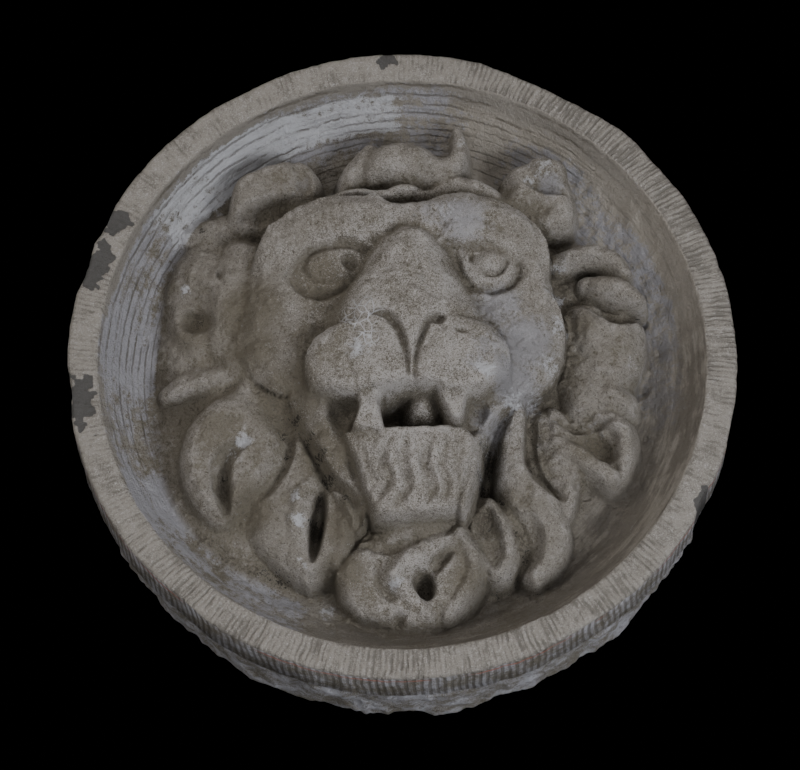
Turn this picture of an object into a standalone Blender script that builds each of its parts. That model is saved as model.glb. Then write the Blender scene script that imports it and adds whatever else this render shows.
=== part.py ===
"""Lion head medallion: a stone roundel carved in one block.

A thick round drum of stone has a flat rim round a hollow dish, and in the dish a lion's head
stands in high relief, with its mane in thick flame-shaped locks. The front and the first part
of the side are dressed with a chisel, and the rest of the side is left rough-hewn. The flat back
lies against the wall. The wall plane is y = 0, the front looks along -Y, and +Z is up.
"""
import math

import bpy
import numpy as np
from mathutils import Vector
from mathutils.geometry import delaunay_2d_cdt

NAME = "lion_medallion"

# Driving dimensions, in metres
OUTER_DIAMETER = 0.660
THICKNESS = 0.170        # from the wall to the face of the rim
RIM_WIDTH = 0.030
DISH_DEPTH = 0.062       # from the face of the rim to the floor of the dish
DISH_SWEEP = 0.066       # how far the hollow curve of the dish runs in from the rim
DISH_HOLLOWNESS = 2.2    # the power of that curve
DRESSED_SIDE = 0.059     # the part of the side behind the front edge that is dressed smooth
BACK_SHRINK = 0.012      # how much the rough side draws in towards the wall
HEWN_ROUGHNESS = 0.0035  # how far the rough side wanders in and out
EDGE_WEAR = 0.0025       # the worn chamfer round the front edge
SHARP_EDGE = 35          # degrees between two faces that meet in a sharp edge
LION_HEIGHT = 0.500      # from the tip of the beard to the top of the forelock

# The carving's own measure: every form of the lion is given in 500ths of its height
UNIT = LION_HEIGHT / 500

# Where the drum's edge is broken or worn flat: degrees round from the right, half width, what is gone
WORN_PLACES = [(62, 14, 0.0055), (38, 6, 0.0020), (118, 7, 0.0020), (154, 4, 0.0025), (163, 5, 0.0030),
               (186, 5, 0.0030), (228, 8, 0.0020), (302, 9, 0.0020), (333, 4, 0.0030)]

# The rough side: rings at shares of its depth, with shares of the shrink and of the roughness there
ROUGH_RINGS = [(1, 0, 0), (0.946, 0.3, 0.5), (0.62, 0.55, 1), (0.28, 0.8, 1), (0, 1, 0.6)]
# Its wander in and out: waves round the drum, radians per metre of depth, share, start
HEWN_WAVES = [(5, 60, 0.5, 0), (11, -45, 0.35, 1.3), (23, 90, 0.25, 0.4)]

# The gaps between the locks and round the face are left shallow, with round bottoms, in UNITs
GAP_REACH = 13.5           # half the width of the gaps that this is done to
GAP_KEPT = 5             # a gap no deeper than this stays as it is cut
GAP_LIMIT = 9            # the most that a deep gap goes beyond that
GAP_GRID = 1.5           # the step of the grid on which the gaps are found
GAP_MIDDLE = -20         # how high the middle of the mane lies
GAP_FIELD = (204, 222)   # how far out from there the gaps are filled
# The drilled hollows that stay deep: centre, half sizes and turn in degrees
DRILLED = [((8, -58), (42, 36), 0), ((-166, -116), (12, 44), -12), ((-88, -172), (15, 42), -8),
           ((24, -238), (16, 26), 0), ((94, -112), (16, 66), -14)]

# How finely the block is faceted
SIDE_FACETS = 96
CARVING_STEP = 2.8       # between the points that carry the carving, in UNITs
FACETS = 9500            # triangles that are left once the flatter ones are merged
CARVING_HOLD = 1000      # how much more readily the carving is thinned than the drum's edges
SAME_POINT = 1e-7        # points nearer than this would be one


FILLET_GROWTH = 3        # how soon the fillet round a form reaches its full size, inward from the outline
SMALLEST_FILLET = 0.02   # its share on the outline


def smooth_path(points, steps, closed=False):
    """Rows of numbers along a Catmull-Rom curve through the points."""
    rows = np.array(points, float)
    if closed:
        rows = np.vstack([rows[-1], rows, rows[:2]])
    else:
        rows = np.vstack([2 * rows[0] - rows[1], rows, 2 * rows[-1] - rows[-2]])
    path = []
    for before, start, end, after in zip(rows, rows[1:], rows[2:], rows[3:]):
        for t in np.arange(steps) / steps:
            swing = (end - before) * t
            bend = (2 * before - 5 * start + 4 * end - after) * t**2
            turn = (3 * start - before - 3 * end + after) * t**3
            path.append(start + 0.5 * (swing + bend + turn))
    if not closed:
        path.append(rows[-2])
    return np.array(path)


def ease(start, end, value):
    """0 before start, 1 after end, and a soft step between them."""
    t = np.clip((value - start) / (end - start), 0, 1)
    return t * t * (3 - 2 * t)


class Carving:
    """Points across the stone and their height over the floor of the dish, all in UNITs.

    across runs to the right, up runs to the top, and a height is towards the viewer.
    """

    def __init__(self, across, up, height):
        self.across = across
        self.up = up
        self.height = height

    def window(self, path, margin):
        """The points inside the box round a path."""
        low = path[:, :2].min(axis=0) - margin
        high = path[:, :2].max(axis=0) + margin
        inside = (self.across > low[0]) & (self.across < high[0]) & (self.up > low[1]) & (self.up < high[1])
        return np.flatnonzero(inside)

    def turned(self, at, centre, half_sizes, turn):
        """How far the points lie from the centre, as shares of the half sizes of a turned oval."""
        angle = math.radians(turn)
        right = self.across[at] - centre[0]
        above = self.up[at] - centre[1]
        along = (right * math.cos(angle) + above * math.sin(angle)) / half_sizes[0]
        over = (above * math.cos(angle) - right * math.sin(angle)) / half_sizes[1]
        return np.abs(along), np.abs(over)

    def raise_to(self, at, height, blend, rise):
        """Adds stone up to a height, with a fillet where the two surfaces meet.

        rise is 0 on the outline of what is added, and there the fillet runs out.
        """
        here = self.height[at]
        blend = blend * np.clip(FILLET_GROWTH * rise, SMALLEST_FILLET, 1)
        share = np.clip(0.5 + 0.5 * (height - here) / blend, 0, 1)
        self.height[at] = here + (height - here) * share + blend * share * (1 - share)

    def mound(self, centre, half_sizes, top, foot=8, turn=0, squareness=2, fullness=2, blend=3):
        """A rounded oval lump."""
        reach = max(half_sizes)
        at = self.window(np.array([centre], float), reach)
        along, over = self.turned(at, centre, half_sizes, turn)
        radius = (along**squareness + over**squareness)**(1 / squareness)
        inside = radius < 1
        rise = (1 - radius[inside]**fullness)**(1 / fullness)
        self.raise_to(at[inside], foot + (top - foot) * rise, blend, rise)

    def hollow(self, centre, half_sizes, depth, turn=0, steepness=2):
        """An oval hollow sunk into what is there."""
        at = self.window(np.array([centre], float), max(half_sizes))
        along, over = self.turned(at, centre, half_sizes, turn)
        radius = np.hypot(along, over)
        inside = radius < 1
        self.height[at[inside]] -= depth * (1 - radius[inside]**steepness)**2

    def lock(self, spine, foot=8, crest=0, fullness=2, blend=3):
        """A lock of hair or a ridge along a spine of (across, up, half width, top).

        crest moves its highest line to the left of the way it runs, as a share of the half width.
        """
        path = smooth_path(spine, steps=7)
        at = self.window(path, path[:, 2].max())
        across, up = self.across[at], self.up[at]
        best = np.full(len(at), -np.inf)
        inward = np.zeros(len(at))
        for start, end in zip(path, path[1:]):
            run = end[:2] - start[:2]
            offset = (across - start[0], up - start[1])
            t = np.clip((offset[0] * run[0] + offset[1] * run[1]) / (run @ run), 0, 1)
            right, above = offset[0] - t * run[0], offset[1] - t * run[1]
            half_width = start[2] + t * (end[2] - start[2])
            radius = np.hypot(right, above) / half_width
            inside = radius < 1
            if crest:
                side = np.sign(run[0] * above - run[1] * right) * radius
                radius = np.where(side > crest, (side - crest) / (1 - crest), (crest - side) / (1 + crest))
            rise = (1 - np.clip(radius, 0, 1)**fullness)**(1 / 2)
            top = start[3] + t * (end[3] - start[3])
            best = np.where(inside, np.maximum(best, foot + (top - foot) * rise), best)
            inward = np.maximum(inward, np.where(inside, rise, 0))
        found = np.isfinite(best)
        self.raise_to(at[found], best[found], blend, inward[found])

    def cut(self, line):
        """A rounded cut along a line of (across, up, half width, depth)."""
        path = smooth_path(line, steps=7)
        at = self.window(path, path[:, 2].max())
        across, up = self.across[at], self.up[at]
        deepest = np.zeros(len(at))
        for start, end in zip(path, path[1:]):
            run = end[:2] - start[:2]
            offset = (across - start[0], up - start[1])
            t = np.clip((offset[0] * run[0] + offset[1] * run[1]) / (run @ run), 0, 1)
            half_width = start[2] + t * (end[2] - start[2])
            depth = start[3] + t * (end[3] - start[3])
            radius = np.hypot(offset[0] - t * run[0], offset[1] - t * run[1]) / half_width
            deepest = np.maximum(deepest, depth * np.clip(1 - radius**2, 0, 1))
        self.height[at] -= deepest

    def plate(self, outline, top, foot=8, edge=14, blend=4, crown=0):
        """A slab inside a smooth outline, rounded over along its edge. top may be a function."""
        ring = smooth_path(outline, steps=4, closed=True)
        at = self.window(ring, 0)
        across, up = self.across[at], self.up[at]
        inside = np.zeros(len(at), bool)
        distance = np.full(len(at), np.inf)
        for start, end in zip(ring, np.roll(ring, -1, axis=0)):
            run = end - start
            t = np.clip(((across - start[0]) * run[0] + (up - start[1]) * run[1]) / (run @ run), 0, 1)
            away = np.hypot(across - start[0] - t * run[0], up - start[1] - t * run[1])
            distance = np.minimum(distance, away)
            if run[1]:
                beside = across < start[0] + (up - start[1]) * run[0] / run[1]
                inside ^= ((start[1] > up) != (end[1] > up)) & beside
        at, distance, across, up = at[inside], distance[inside], across[inside], up[inside]
        level = top(across, up) if callable(top) else top
        level = level + crown * np.clip(distance / (3 * edge), 0, 1)
        rounding = np.sqrt(1 - np.clip(1 - distance / edge, 0, 1)**2)
        self.raise_to(at, foot + (level - foot) * rounding, blend, rounding)


def carve_mane_on_the_right(stone):
    """The locks from the top round the right side down to the beard."""
    stone.plate([(90, 166), (98, 204), (122, 221), (154, 222), (172, 198), (178, 164), (166, 140), (124, 142)],
                46, edge=16, blend=7)
    stone.hollow((103, 194), (18, 28), 14, turn=8)
    stone.hollow((134, 162), (24, 34), 6, turn=-12)
    stone.mound((147, 206), (21, 15), 56, foot=36, turn=-16, squareness=2.6, blend=3)
    stone.cut([(124, 194, 3, 4), (140, 188, 5, 10), (158, 184, 5, 10), (172, 180, 2, 3)])
    stone.mound((64, 190), (20, 13), 49, turn=10, blend=6)
    stone.lock([(160, 110, 15, 42), (186, 117, 16, 50), (210, 110, 15, 52), (223, 97, 10, 46)], blend=6)
    stone.plate([(164, 66), (200, 64), (238, 52), (245, 22), (238, -6), (231, -22), (237, -40), (228, -57),
                 (196, -58), (168, -60), (154, -30), (156, 20)], 47, edge=28, crown=4, blend=8)
    stone.hollow((168, 14), (26, 56), 10, turn=4)
    stone.cut([(242, -14, 7, 4), (216, -22, 11, 6), (184, -16, 9, 3)])
    stone.lock([(184, 86, 11, 44), (201, 82, 16, 54), (221, 74, 17, 59), (235, 66, 11, 53)])
    stone.cut([(184, 62, 4, 4), (200, 54, 6, 11), (216, 48, 8, 14), (243, 55, 4, 8)])
    stone.plate([(150, -62), (200, -50), (230, -56), (235, -88), (222, -114), (206, -130), (186, -124),
                 (160, -112)], 34, edge=14, blend=8)
    stone.lock([(196, -54, 12, 44), (216, -68, 13, 48), (219, -94, 12, 46), (214, -117, 8, 38)], fullness=2.5)
    stone.lock([(146, -60, 20, 34), (152, -92, 22, 41), (160, -124, 15, 42), (158, -152, 10, 38)],
               crest=0.4, fullness=3, blend=6)
    stone.lock([(152, -84, 14, 44), (180, -101, 14, 51), (204, -119, 12, 50)], fullness=3)
    stone.hollow((194, -86), (14, 22), 17, turn=32, steepness=4)
    stone.hollow((176, -124), (12, 9), 14, steepness=4)
    stone.cut([(150, -56, 4, 5), (170, -66, 6, 12), (190, -64, 5, 10), (208, -58, 3, 5)])
    stone.lock([(108, -50, 15, 50), (104, -85, 17, 53), (105, -112, 19, 53), (118, -142, 30, 51),
                (133, -168, 32, 48), (135, -192, 27, 44), (128, -210, 17, 38), (129, -222, 8, 31)],
               crest=0.45, fullness=3, blend=5)
    stone.hollow((122, -188), (17, 32), 14, turn=-8, steepness=3)
    stone.cut([(128, -54, 6, 6), (125, -88, 8, 17), (129, -112, 8, 19), (143, -130, 7, 14), (157, -140, 4, 6)])
    stone.plate([(72, -130), (88, -134), (106, -158), (115, -184), (113, -208), (100, -226), (80, -224),
                 (66, -204), (60, -168)], 46, edge=13)
    stone.hollow((84, -180), (15, 36), 17, turn=12, steepness=4)
    stone.cut([(84, -126, 4, 6), (102, -152, 5, 7), (118, -174, 5, 7), (121, -196, 5, 7), (110, -220, 4, 5)])


def carve_mane_on_the_left(stone):
    """The locks from the top round the left side down to the beard."""
    stone.mound((-166, 40), (84, 128), 42, foot=-8, squareness=2.4, fullness=1.5, blend=8)
    stone.mound((-140, -96), (124, 150), 44, foot=-10, squareness=2.2, fullness=1.3, blend=8)
    stone.lock([(-156, 122, 24, 46), (-166, 80, 28, 52), (-168, 40, 28, 52), (-160, 0, 24, 50)], foot=16, blend=14)
    stone.plate([(-170, 146), (-172, 192), (-156, 212), (-114, 225), (-90, 219), (-77, 194), (-86, 166),
                 (-116, 142)], 48, edge=12, crown=2)
    stone.hollow((-132, 153), (52, 27), 18, turn=16, steepness=4)
    stone.cut([(-110, 220, 5, 3), (-98, 200, 8, 5), (-92, 178, 8, 6)])
    stone.lock([(-208, 146, 16, 20), (-182, 154, 20, 28), (-156, 158, 17, 33)], foot=0, blend=14)
    stone.mound((-184, 72), (56, 78), 46, foot=-4, turn=4, squareness=2.2, fullness=1.6, blend=14)
    stone.hollow((-203, 62), (26, 34), 12, turn=16)
    stone.hollow((-205, 50), (22, 14), 9, turn=-14, steepness=4)
    stone.cut([(-178, 84, 2, 2), (-181, 94, 4, 8), (-178, 104, 3, 4)])
    stone.lock([(-232, -22, 11, 24), (-212, -15, 16, 36), (-180, -6, 20, 44), (-146, 4, 20, 47)],
               crest=-0.3, blend=6)
    stone.plate([(-148, 4), (-136, -28), (-119, -54), (-113, -80), (-118, -106), (-134, -132), (-156, -154),
                 (-176, -170), (-198, -158), (-215, -130), (-221, -96), (-214, -62), (-194, -38), (-170, -22)],
                51, edge=20, crown=4, blend=9)
    stone.cut([(-154, -84, 5, 4), (-166, -91, 9, 10), (-176, -105, 12, 18), (-177, -124, 11, 25),
               (-174, -143, 8, 20), (-173, -158, 5, 7)])
    stone.plate([(-120, -40), (-100, -56), (-86, -86), (-70, -116), (-52, -138), (-44, -168), (-56, -203),
                 (-90, -226), (-122, -210), (-152, -178), (-152, -146), (-134, -112), (-122, -72)],
                lambda across, up: 45 + 0.1 * (across + 100), edge=20, blend=9)
    stone.lock([(-84, -118, 9, 47), (-97, -136, 12, 52), (-105, -165, 12, 51), (-101, -192, 12, 45),
                (-92, -220, 7, 36)], foot=26)
    stone.lock([(-70, -132, 8, 46), (-59, -150, 12, 52), (-57, -178, 12, 52), (-66, -204, 9, 45)], foot=24)
    stone.cut([(-78, -130, 4, 8), (-81, -148, 8, 28), (-84, -170, 9, 34), (-86, -190, 7, 24), (-88, -204, 3, 8)])
    stone.hollow((-72, -216), (11, 11), 12, steepness=3)
    stone.cut([(-148, 0, 3, 5), (-133, -30, 4, 11), (-116, -56, 5, 16), (-110, -82, 6, 17), (-116, -108, 6, 12),
               (-132, -134, 4, 5)])


def carve_forelock(stone):
    """The comma-shaped lock over the brow, and the flat little locks below it."""
    stone.lock([(-58, 184, 12, 38), (-46, 206, 18, 44), (-30, 230, 15, 41)], blend=8)
    stone.lock([(-28, 206, 14, 49), (-10, 217, 24, 61), (15, 213, 26, 63), (38, 206, 21, 59),
                (54, 213, 15, 55), (60, 232, 11, 50), (57, 254, 7, 43)], fullness=3, blend=5)
    stone.hollow((36, 226), (14, 12), 8, turn=30)
    stone.lock([(-80, 174, 5, 48), (-50, 180, 9, 59), (-16, 180, 6, 56)], blend=5)
    stone.lock([(-20, 178, 5, 50), (4, 184, 10, 57), (28, 178, 5, 50)], blend=5)
    stone.lock([(26, 180, 9, 50), (54, 187, 18, 58), (84, 180, 17, 57), (102, 160, 12, 50)], blend=8)


def carve_beard(stone):
    """The throat below the jaw, and the beard in two curling tufts."""
    stone.lock([(14, -164, 42, 66), (12, -200, 46, 54)], fullness=3)
    stone.plate([(-40, -184), (-64, -212), (-61, -240), (-38, -258), (-8, -269), (26, -271), (48, -256),
                 (66, -234), (76, -206), (58, -180), (20, -172)],
                lambda across, up: 48 + 0.14 * (up + 215), edge=18)
    stone.lock([(-34, -198, 14, 48), (-49, -219, 17, 48), (-38, -243, 15, 43), (-14, -254, 11, 39)], foot=20,
               blend=5)
    stone.lock([(54, -184, 13, 60), (22, -198, 17, 62), (-6, -217, 16, 60), (5, -239, 15, 54),
                (26, -259, 9, 45)], foot=20, blend=4)
    stone.lock([(55, -180, 12, 60), (69, -208, 13, 57), (61, -233, 12, 51), (42, -257, 8, 43)], foot=20, blend=4)
    stone.hollow((20, -229), (12, 18), 28, turn=20, steepness=4)
    stone.cut([(25, -220, 8, 10), (38, -204, 8, 10), (52, -188, 5, 4)])
    stone.cut([(-24, -206, 4, 3), (-25, -226, 5, 6), (-12, -242, 5, 5)])
    stone.hollow((-4, -262), (9, 8), 12)
    stone.cut([(-36, -191, 5, 4), (-12, -195, 7, 9), (14, -186, 6, 7), (34, -179, 4, 2)])


def carve_brow_and_cheeks(stone):
    """The broad mask of the face, and the jaw's two long slopes from the cheeks down to the beard."""
    mask = [(-154, 97), (-137, 126), (-110, 150), (-61, 166), (-12, 168), (24, 171), (83, 163), (110, 148),
            (138, 118), (152, 81), (154, 22), (146, -13), (123, -48), (98, -68), (84, -102), (64, -150),
            (16, -172), (-34, -162), (-60, -134), (-82, -97), (-101, -60), (-128, -24), (-150, 13), (-157, 60)]
    stone.plate(mask, lambda across, up: 63 + 11 * ease(70, 150, up), edge=15, crown=4)
    stone.lock([(-134, 96, 15, 66), (-114, 120, 26, 75), (-80, 136, 31, 79), (-42, 142, 30, 82),
                (-12, 144, 19, 80)], foot=60, blend=12)
    stone.lock([(26, 146, 19, 81), (58, 144, 30, 85), (94, 134, 31, 82), (120, 114, 26, 76),
                (132, 96, 16, 68)], foot=60, blend=12)
    stone.hollow((2, 130), (24, 24), 9)
    stone.mound((-108, 22), (54, 60), 73, foot=50, blend=16)
    stone.mound((112, 24), (50, 66), 75, foot=50, blend=16)
    stone.plate([(-112, -44), (-88, -36), (-68, -52), (-56, -84), (-46, -120), (-34, -158), (-44, -180),
                 (-58, -160), (-74, -126), (-90, -92)],
                lambda across, up: 61 + 0.45 * (across + 103 + 0.454 * (57 + up)), foot=46, edge=10, blend=8)
    stone.plate([(112, -38), (90, -34), (74, -52), (64, -84), (60, -122), (50, -160), (60, -172),
                 (70, -150), (76, -122), (82, -90), (96, -60)],
                lambda across, up: 64 + 0.3 * (102 - across - 0.35 * (50 + up)), foot=44, edge=9, blend=7)


LIP_LINE = [(-120, -36), (-96, -38), (-78, -46), (-46, -52), (-22, -47), (7, -42), (34, -45), (42, -51),
            (76, -50), (96, -36), (120, -28)]
LIP_ROUNDING = 5
LIP_STEEPNESS = 9
HOLE_FLOOR = 20
BELOW_STONE = -50


def carve_mouth(stone):
    """The opening between the jaws, its drilled hole and the tongue in it."""
    from_middle = np.abs(stone.across - 8)
    gap = ease(-88, -78, stone.up) * (1 - ease(-30, -20, stone.up)) * (1 - ease(76, 92, from_middle))
    floor = 60 + 12 * ease(50, 84, from_middle)
    stone.height -= gap * np.maximum(stone.height - floor, 0)
    hole = ease(-84, -78, stone.up) * (1 - ease(-36, -30, stone.up)) * (1 - ease(30, 34, np.abs(stone.across - 7)))
    stone.height -= hole * np.maximum(stone.height - HOLE_FLOOR, 0)
    stone.mound((20, -54), (22, 24), 77, foot=HOLE_FLOOR, squareness=2.4, blend=1)


def carve_muzzle(stone):
    """The flat-fronted nose and the upper lip's two pads, cut off below along the line of the lip."""
    lip = np.interp(stone.across, *zip(*LIP_LINE))
    muzzle = Carving(stone.across, stone.up, np.full(len(stone.up), float(BELOW_STONE)))
    muzzle.lock([(10, 104, 34, 93), (7, 82, 51, 100), (6, 58, 64, 105), (4, 32, 73, 109), (6, 4, 87, 110),
                 (8, -28, 90, 107)], foot=34, fullness=3.5)
    muzzle.mound((-42, -20), (54, 44), 113, foot=92, squareness=2.2, blend=22)
    muzzle.mound((57, -18), (50, 46), 112, foot=92, squareness=2.2, blend=22)
    muzzle.lock([(9, 44, 28, 108), (9, 24, 28, 114), (9, 0, 15, 114), (9, -42, 5, 108)], foot=98, blend=10)
    above = muzzle.up - lip
    muzzle.height -= LIP_ROUNDING * np.clip(1 - above / LIP_ROUNDING, 0, 1)**2.5
    muzzle.height += LIP_STEEPNESS * np.minimum(above, 0)
    standing = np.flatnonzero(muzzle.height > 0)
    stone.raise_to(standing, muzzle.height[standing], blend=10, rise=1)
    stone.cut([(-28, 29, 4, 6), (-14, 26, 5, 13), (-2, 8, 5, 12), (4, -15, 4, 9), (7, -42, 2.5, 6)])
    stone.hollow((35, 22), (9, 8), 14, steepness=4)
    stone.cut([(27, 22, 4, 10), (20, 5, 4.5, 11), (14, -13, 4, 9), (11, -42, 2.5, 6)])
    stone.cut([(78, 30, 7, 2), (99, 4, 7, 3), (102, -26, 6, 3)])
    stone.hollow((58, 9), (9, 5), 6, turn=-20)


def carve_jaw_and_teeth(stone):
    """The open mouth with its drilled hole and tongue, two canine teeth, and the shield of the chin."""
    shield = [(-57, -82), (-7, -79), (44, -77), (66, -81), (75, -100), (68, -127), (61, -150), (50, -168),
              (16, -175), (-24, -175), (-36, -158), (-47, -121), (-58, -98)]
    stone.plate(shield, lambda across, up: 97 - 10 * ((across - 12) / 60)**2 + 0.05 * (up + 80),
                foot=40, edge=9, blend=4)
    stone.hollow((-62, -62), (17, 17), 12)
    stone.hollow((74, -60), (13, 17), 13)
    stone.plate([(-54, -38), (-14, -38), (-20, -58), (-17, -88), (-50, -88), (-44, -60)], 101, foot=24, edge=5)
    stone.plate([(30, -38), (67, -38), (64, -60), (59, -77), (48, -79), (38, -63)], 100, foot=24, edge=5)
    waves = [[(-38, -106, 3, 2), (-35, -121, 4, 3), (-30, -135, 4, 3), (-31, -150, 3, 2)],
             [(-13, -97, 3, 2), (-19, -116, 5, 5), (-13, -133, 5, 5), (-16, -146, 5, 5), (-27, -160, 4, 3)],
             [(6, -92, 3, 3), (0, -114, 6, 6), (4, -131, 5, 6), (5, -146, 6, 6), (-3, -158, 5, 5),
              (-14, -168, 3, 3)],
             [(29, -97, 3, 3), (21, -119, 6, 6), (27, -136, 6, 6), (29, -150, 6, 6), (21, -164, 4, 3)],
             [(43, -102, 3, 2), (37, -124, 5, 5), (43, -140, 5, 5), (40, -158, 4, 3)],
             [(57, -106, 3, 2), (52, -126, 4, 4), (56, -143, 3, 2)]]
    for wave in waves:
        stone.cut(wave)
    stone.cut([(106, -52, 5, 6), (91, -76, 9, 13), (86, -98, 11, 16), (82, -122, 10, 16), (70, -152, 6, 9)])
    stone.cut([(-104, -54, 4, 4), (-95, -78, 5, 9), (-84, -100, 6, 13), (-74, -122, 7, 15), (-52, -142, 6, 12),
               (-42, -165, 6, 10), (-48, -190, 5, 8)])


def carve_eye(stone, centre, turn, upper_lid, lower_lid):
    """A ball between two lids, in a shallow socket."""
    stone.hollow(centre, (54, 36), 9, turn=turn, steepness=3)
    stone.mound(centre, (44, 29), 77, foot=56, turn=turn, blend=3)
    stone.lock(upper_lid, foot=62, blend=5)
    stone.lock(lower_lid, foot=62, blend=5)


def carve_left_eye(stone):
    """The eye at the left, which slants up to the nose."""
    carve_eye(stone, (-68, 91), 19,
              upper_lid=[(-119, 84, 4, 69), (-102, 108, 6, 74), (-80, 120, 6, 78), (-46, 123, 6, 80),
                         (-25, 111, 4, 77)],
              lower_lid=[(-119, 82, 4, 69), (-106, 63, 6, 70), (-82, 52, 7, 72), (-56, 60, 6, 73),
                         (-36, 84, 5, 75), (-25, 108, 4, 76)])
    stone.cut([(-112, 84, 2.5, 2), (-102, 69, 3.5, 5), (-84, 60, 3.5, 5), (-60, 66, 3, 3), (-42, 84, 3, 2)])
    stone.cut([(-106, 98, 2.5, 2), (-84, 110, 3, 3), (-56, 114, 3, 3), (-38, 108, 3, 3)])
    stone.cut([(-93, 101, 3, 3), (-97, 90, 3.5, 5), (-88, 79, 3, 4), (-76, 76, 2, 2)])
    stone.hollow((-51, 97), (10, 12), 9, turn=20, steepness=4)


def carve_right_eye(stone):
    """The eye at the right, with its drilled corners."""
    carve_eye(stone, (80, 91), -6,
              upper_lid=[(30, 112, 4, 78), (46, 123, 6, 81), (68, 127, 6, 82), (91, 119, 6, 80),
                         (114, 105, 6, 75), (128, 96, 4, 69)],
              lower_lid=[(52, 78, 4, 73), (66, 62, 6, 72), (90, 55, 7, 73), (112, 63, 6, 72), (126, 84, 4, 69)])
    stone.cut([(53, 106, 4, 8), (55, 96, 5, 11), (59, 84, 4, 8), (68, 73, 2.5, 4)])
    stone.cut([(66, 72, 2.5, 4), (89, 64, 3.5, 7), (105, 69, 4, 9), (115, 84, 4, 9), (116, 97, 2.5, 5)])
    stone.cut([(78, 86, 2, 3), (89, 81, 3, 6), (99, 86, 3.5, 8), (104, 97, 3, 6)])
    stone.hollow((69, 101), (5, 7), 6)
    stone.cut([(34, 131, 3, 2), (64, 137, 3, 3), (92, 131, 3, 3), (116, 116, 3, 2)])


def block_height(across, up):
    """Height of the turned block over the floor of the dish: flat rim, hollow curve, flat floor."""
    radius = np.hypot(across, up) * UNIT
    inner = OUTER_DIAMETER / 2 - RIM_WIDTH
    outward = np.clip((radius - inner + DISH_SWEEP) / DISH_SWEEP, 0, 1)
    return DISH_DEPTH / UNIT * outward**DISH_HOLLOWNESS


def cut_front(across, up):
    """Height of the front over the floor of the dish, with its gaps as deep as they were cut."""
    stone = Carving(across, up, block_height(across, up))
    stone.mound((2, -8), (244, 246), 26, foot=-10, fullness=1.8, blend=6)
    carve_mane_on_the_right(stone)
    carve_mane_on_the_left(stone)
    carve_forelock(stone)
    carve_beard(stone)
    carve_brow_and_cheeks(stone)
    carve_mouth(stone)
    carve_muzzle(stone)
    carve_jaw_and_teeth(stone)
    carve_left_eye(stone)
    carve_right_eye(stone)
    return stone.height


def widened(grid, extreme):
    """Each cell of a grid takes the highest or the lowest value within GAP_REACH."""
    reach = round(GAP_REACH / GAP_GRID)
    found = grid
    for down in range(-reach, reach + 1):
        for over in range(-reach, reach + 1):
            if math.hypot(down, over) <= reach:
                found = extreme(found, np.roll(grid, (down, over), (0, 1)))
    return found


def gap_fill():
    """The grid's line of places, and how much stone is left at each place in the deep gaps."""
    limit = OUTER_DIAMETER / 2 / UNIT
    line = np.arange(-limit, limit + GAP_GRID, GAP_GRID)
    across, up = np.meshgrid(line, line)
    height = cut_front(across.ravel(), up.ravel()).reshape(across.shape)
    gap = widened(widened(height, np.maximum), np.minimum) - height
    deep = np.maximum(gap - GAP_KEPT, 0)
    fill = deep - deep / (1 + deep / GAP_LIMIT)
    fill *= 1 - ease(*GAP_FIELD, np.hypot(across, up - GAP_MIDDLE))
    for centre, half_sizes, turn in DRILLED:
        angle = math.radians(turn)
        right, above = across - centre[0], up - centre[1]
        along = (right * math.cos(angle) + above * math.sin(angle)) / half_sizes[0]
        over = (above * math.cos(angle) - right * math.sin(angle)) / half_sizes[1]
        fill *= ease(0.8, 1.2, np.hypot(along, over))
    for _ in range(4):
        for axis in (0, 1):
            fill = (np.roll(fill, 1, axis) + 2 * fill + np.roll(fill, -1, axis)) / 4
    return line, fill


def read_grid(line, grid, across, up):
    """The grid's value at each place, from its four nearest cells."""
    last = len(line) - 2
    column, row = (np.clip((value - line[0]) / GAP_GRID, 0, last) for value in (across, up))
    left, below = column.astype(int), row.astype(int)
    lower = grid[below, left] + (column - left) * (grid[below, left + 1] - grid[below, left])
    upper = grid[below + 1, left] + (column - left) * (grid[below + 1, left + 1] - grid[below + 1, left])
    return lower + (row - below) * (upper - lower)


def front_height(across, up):
    """Height of the finished front over the floor of the dish, in UNITs."""
    return cut_front(across, up) + read_grid(*gap_fill(), across, up)


def lost_edge(angle):
    """How much of the drum's edge is gone, by the angle round it."""
    lost = np.zeros(len(angle))
    for place, half_width, depth in WORN_PLACES:
        away = (np.degrees(angle) - place + 180) % 360 - 180
        lost += depth * np.clip(1 - (away / half_width)**2, 0, 1)
    return lost


def ring(angle, radius):
    """Points round the axis."""
    return np.stack([radius * np.cos(angle), radius * np.sin(angle)], axis=1)


def round_turn(count):
    """Even angles round a full turn."""
    return 2 * math.pi * np.arange(count) / count


def carved_points():
    """Where the front is carved: first the outer edge, then the inner edge of the rim and an even spread."""
    turn = round_turn(SIDE_FACETS)
    edge = ring(turn, (OUTER_DIAMETER / 2 - EDGE_WEAR - lost_edge(turn)) / UNIT)
    inner = (OUTER_DIAMETER / 2 - RIM_WIDTH) / UNIT
    lip = ring(round_turn(2 * SIDE_FACETS), inner)
    reach = inner - CARVING_STEP / 2
    rows = []
    for number, up in enumerate(np.arange(-reach, reach, CARVING_STEP * math.sqrt(3) / 2)):
        across = np.arange(-reach + CARVING_STEP / 2 * (number % 2), reach, CARVING_STEP)
        rows.append(np.stack([across, np.full(len(across), up)], axis=1))
    spread = np.vstack(rows)
    return np.vstack([edge, lip, spread[np.hypot(*spread.T) < reach]])


def triangulate(points):
    """Triangles between the points, without those that would bridge a dent in the outer edge."""
    found = delaunay_2d_cdt([Vector(point) for point in points.tolist()], [], [], 0, SAME_POINT)[2]
    return [corners for corners in found if max(corners) >= SIDE_FACETS]


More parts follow.
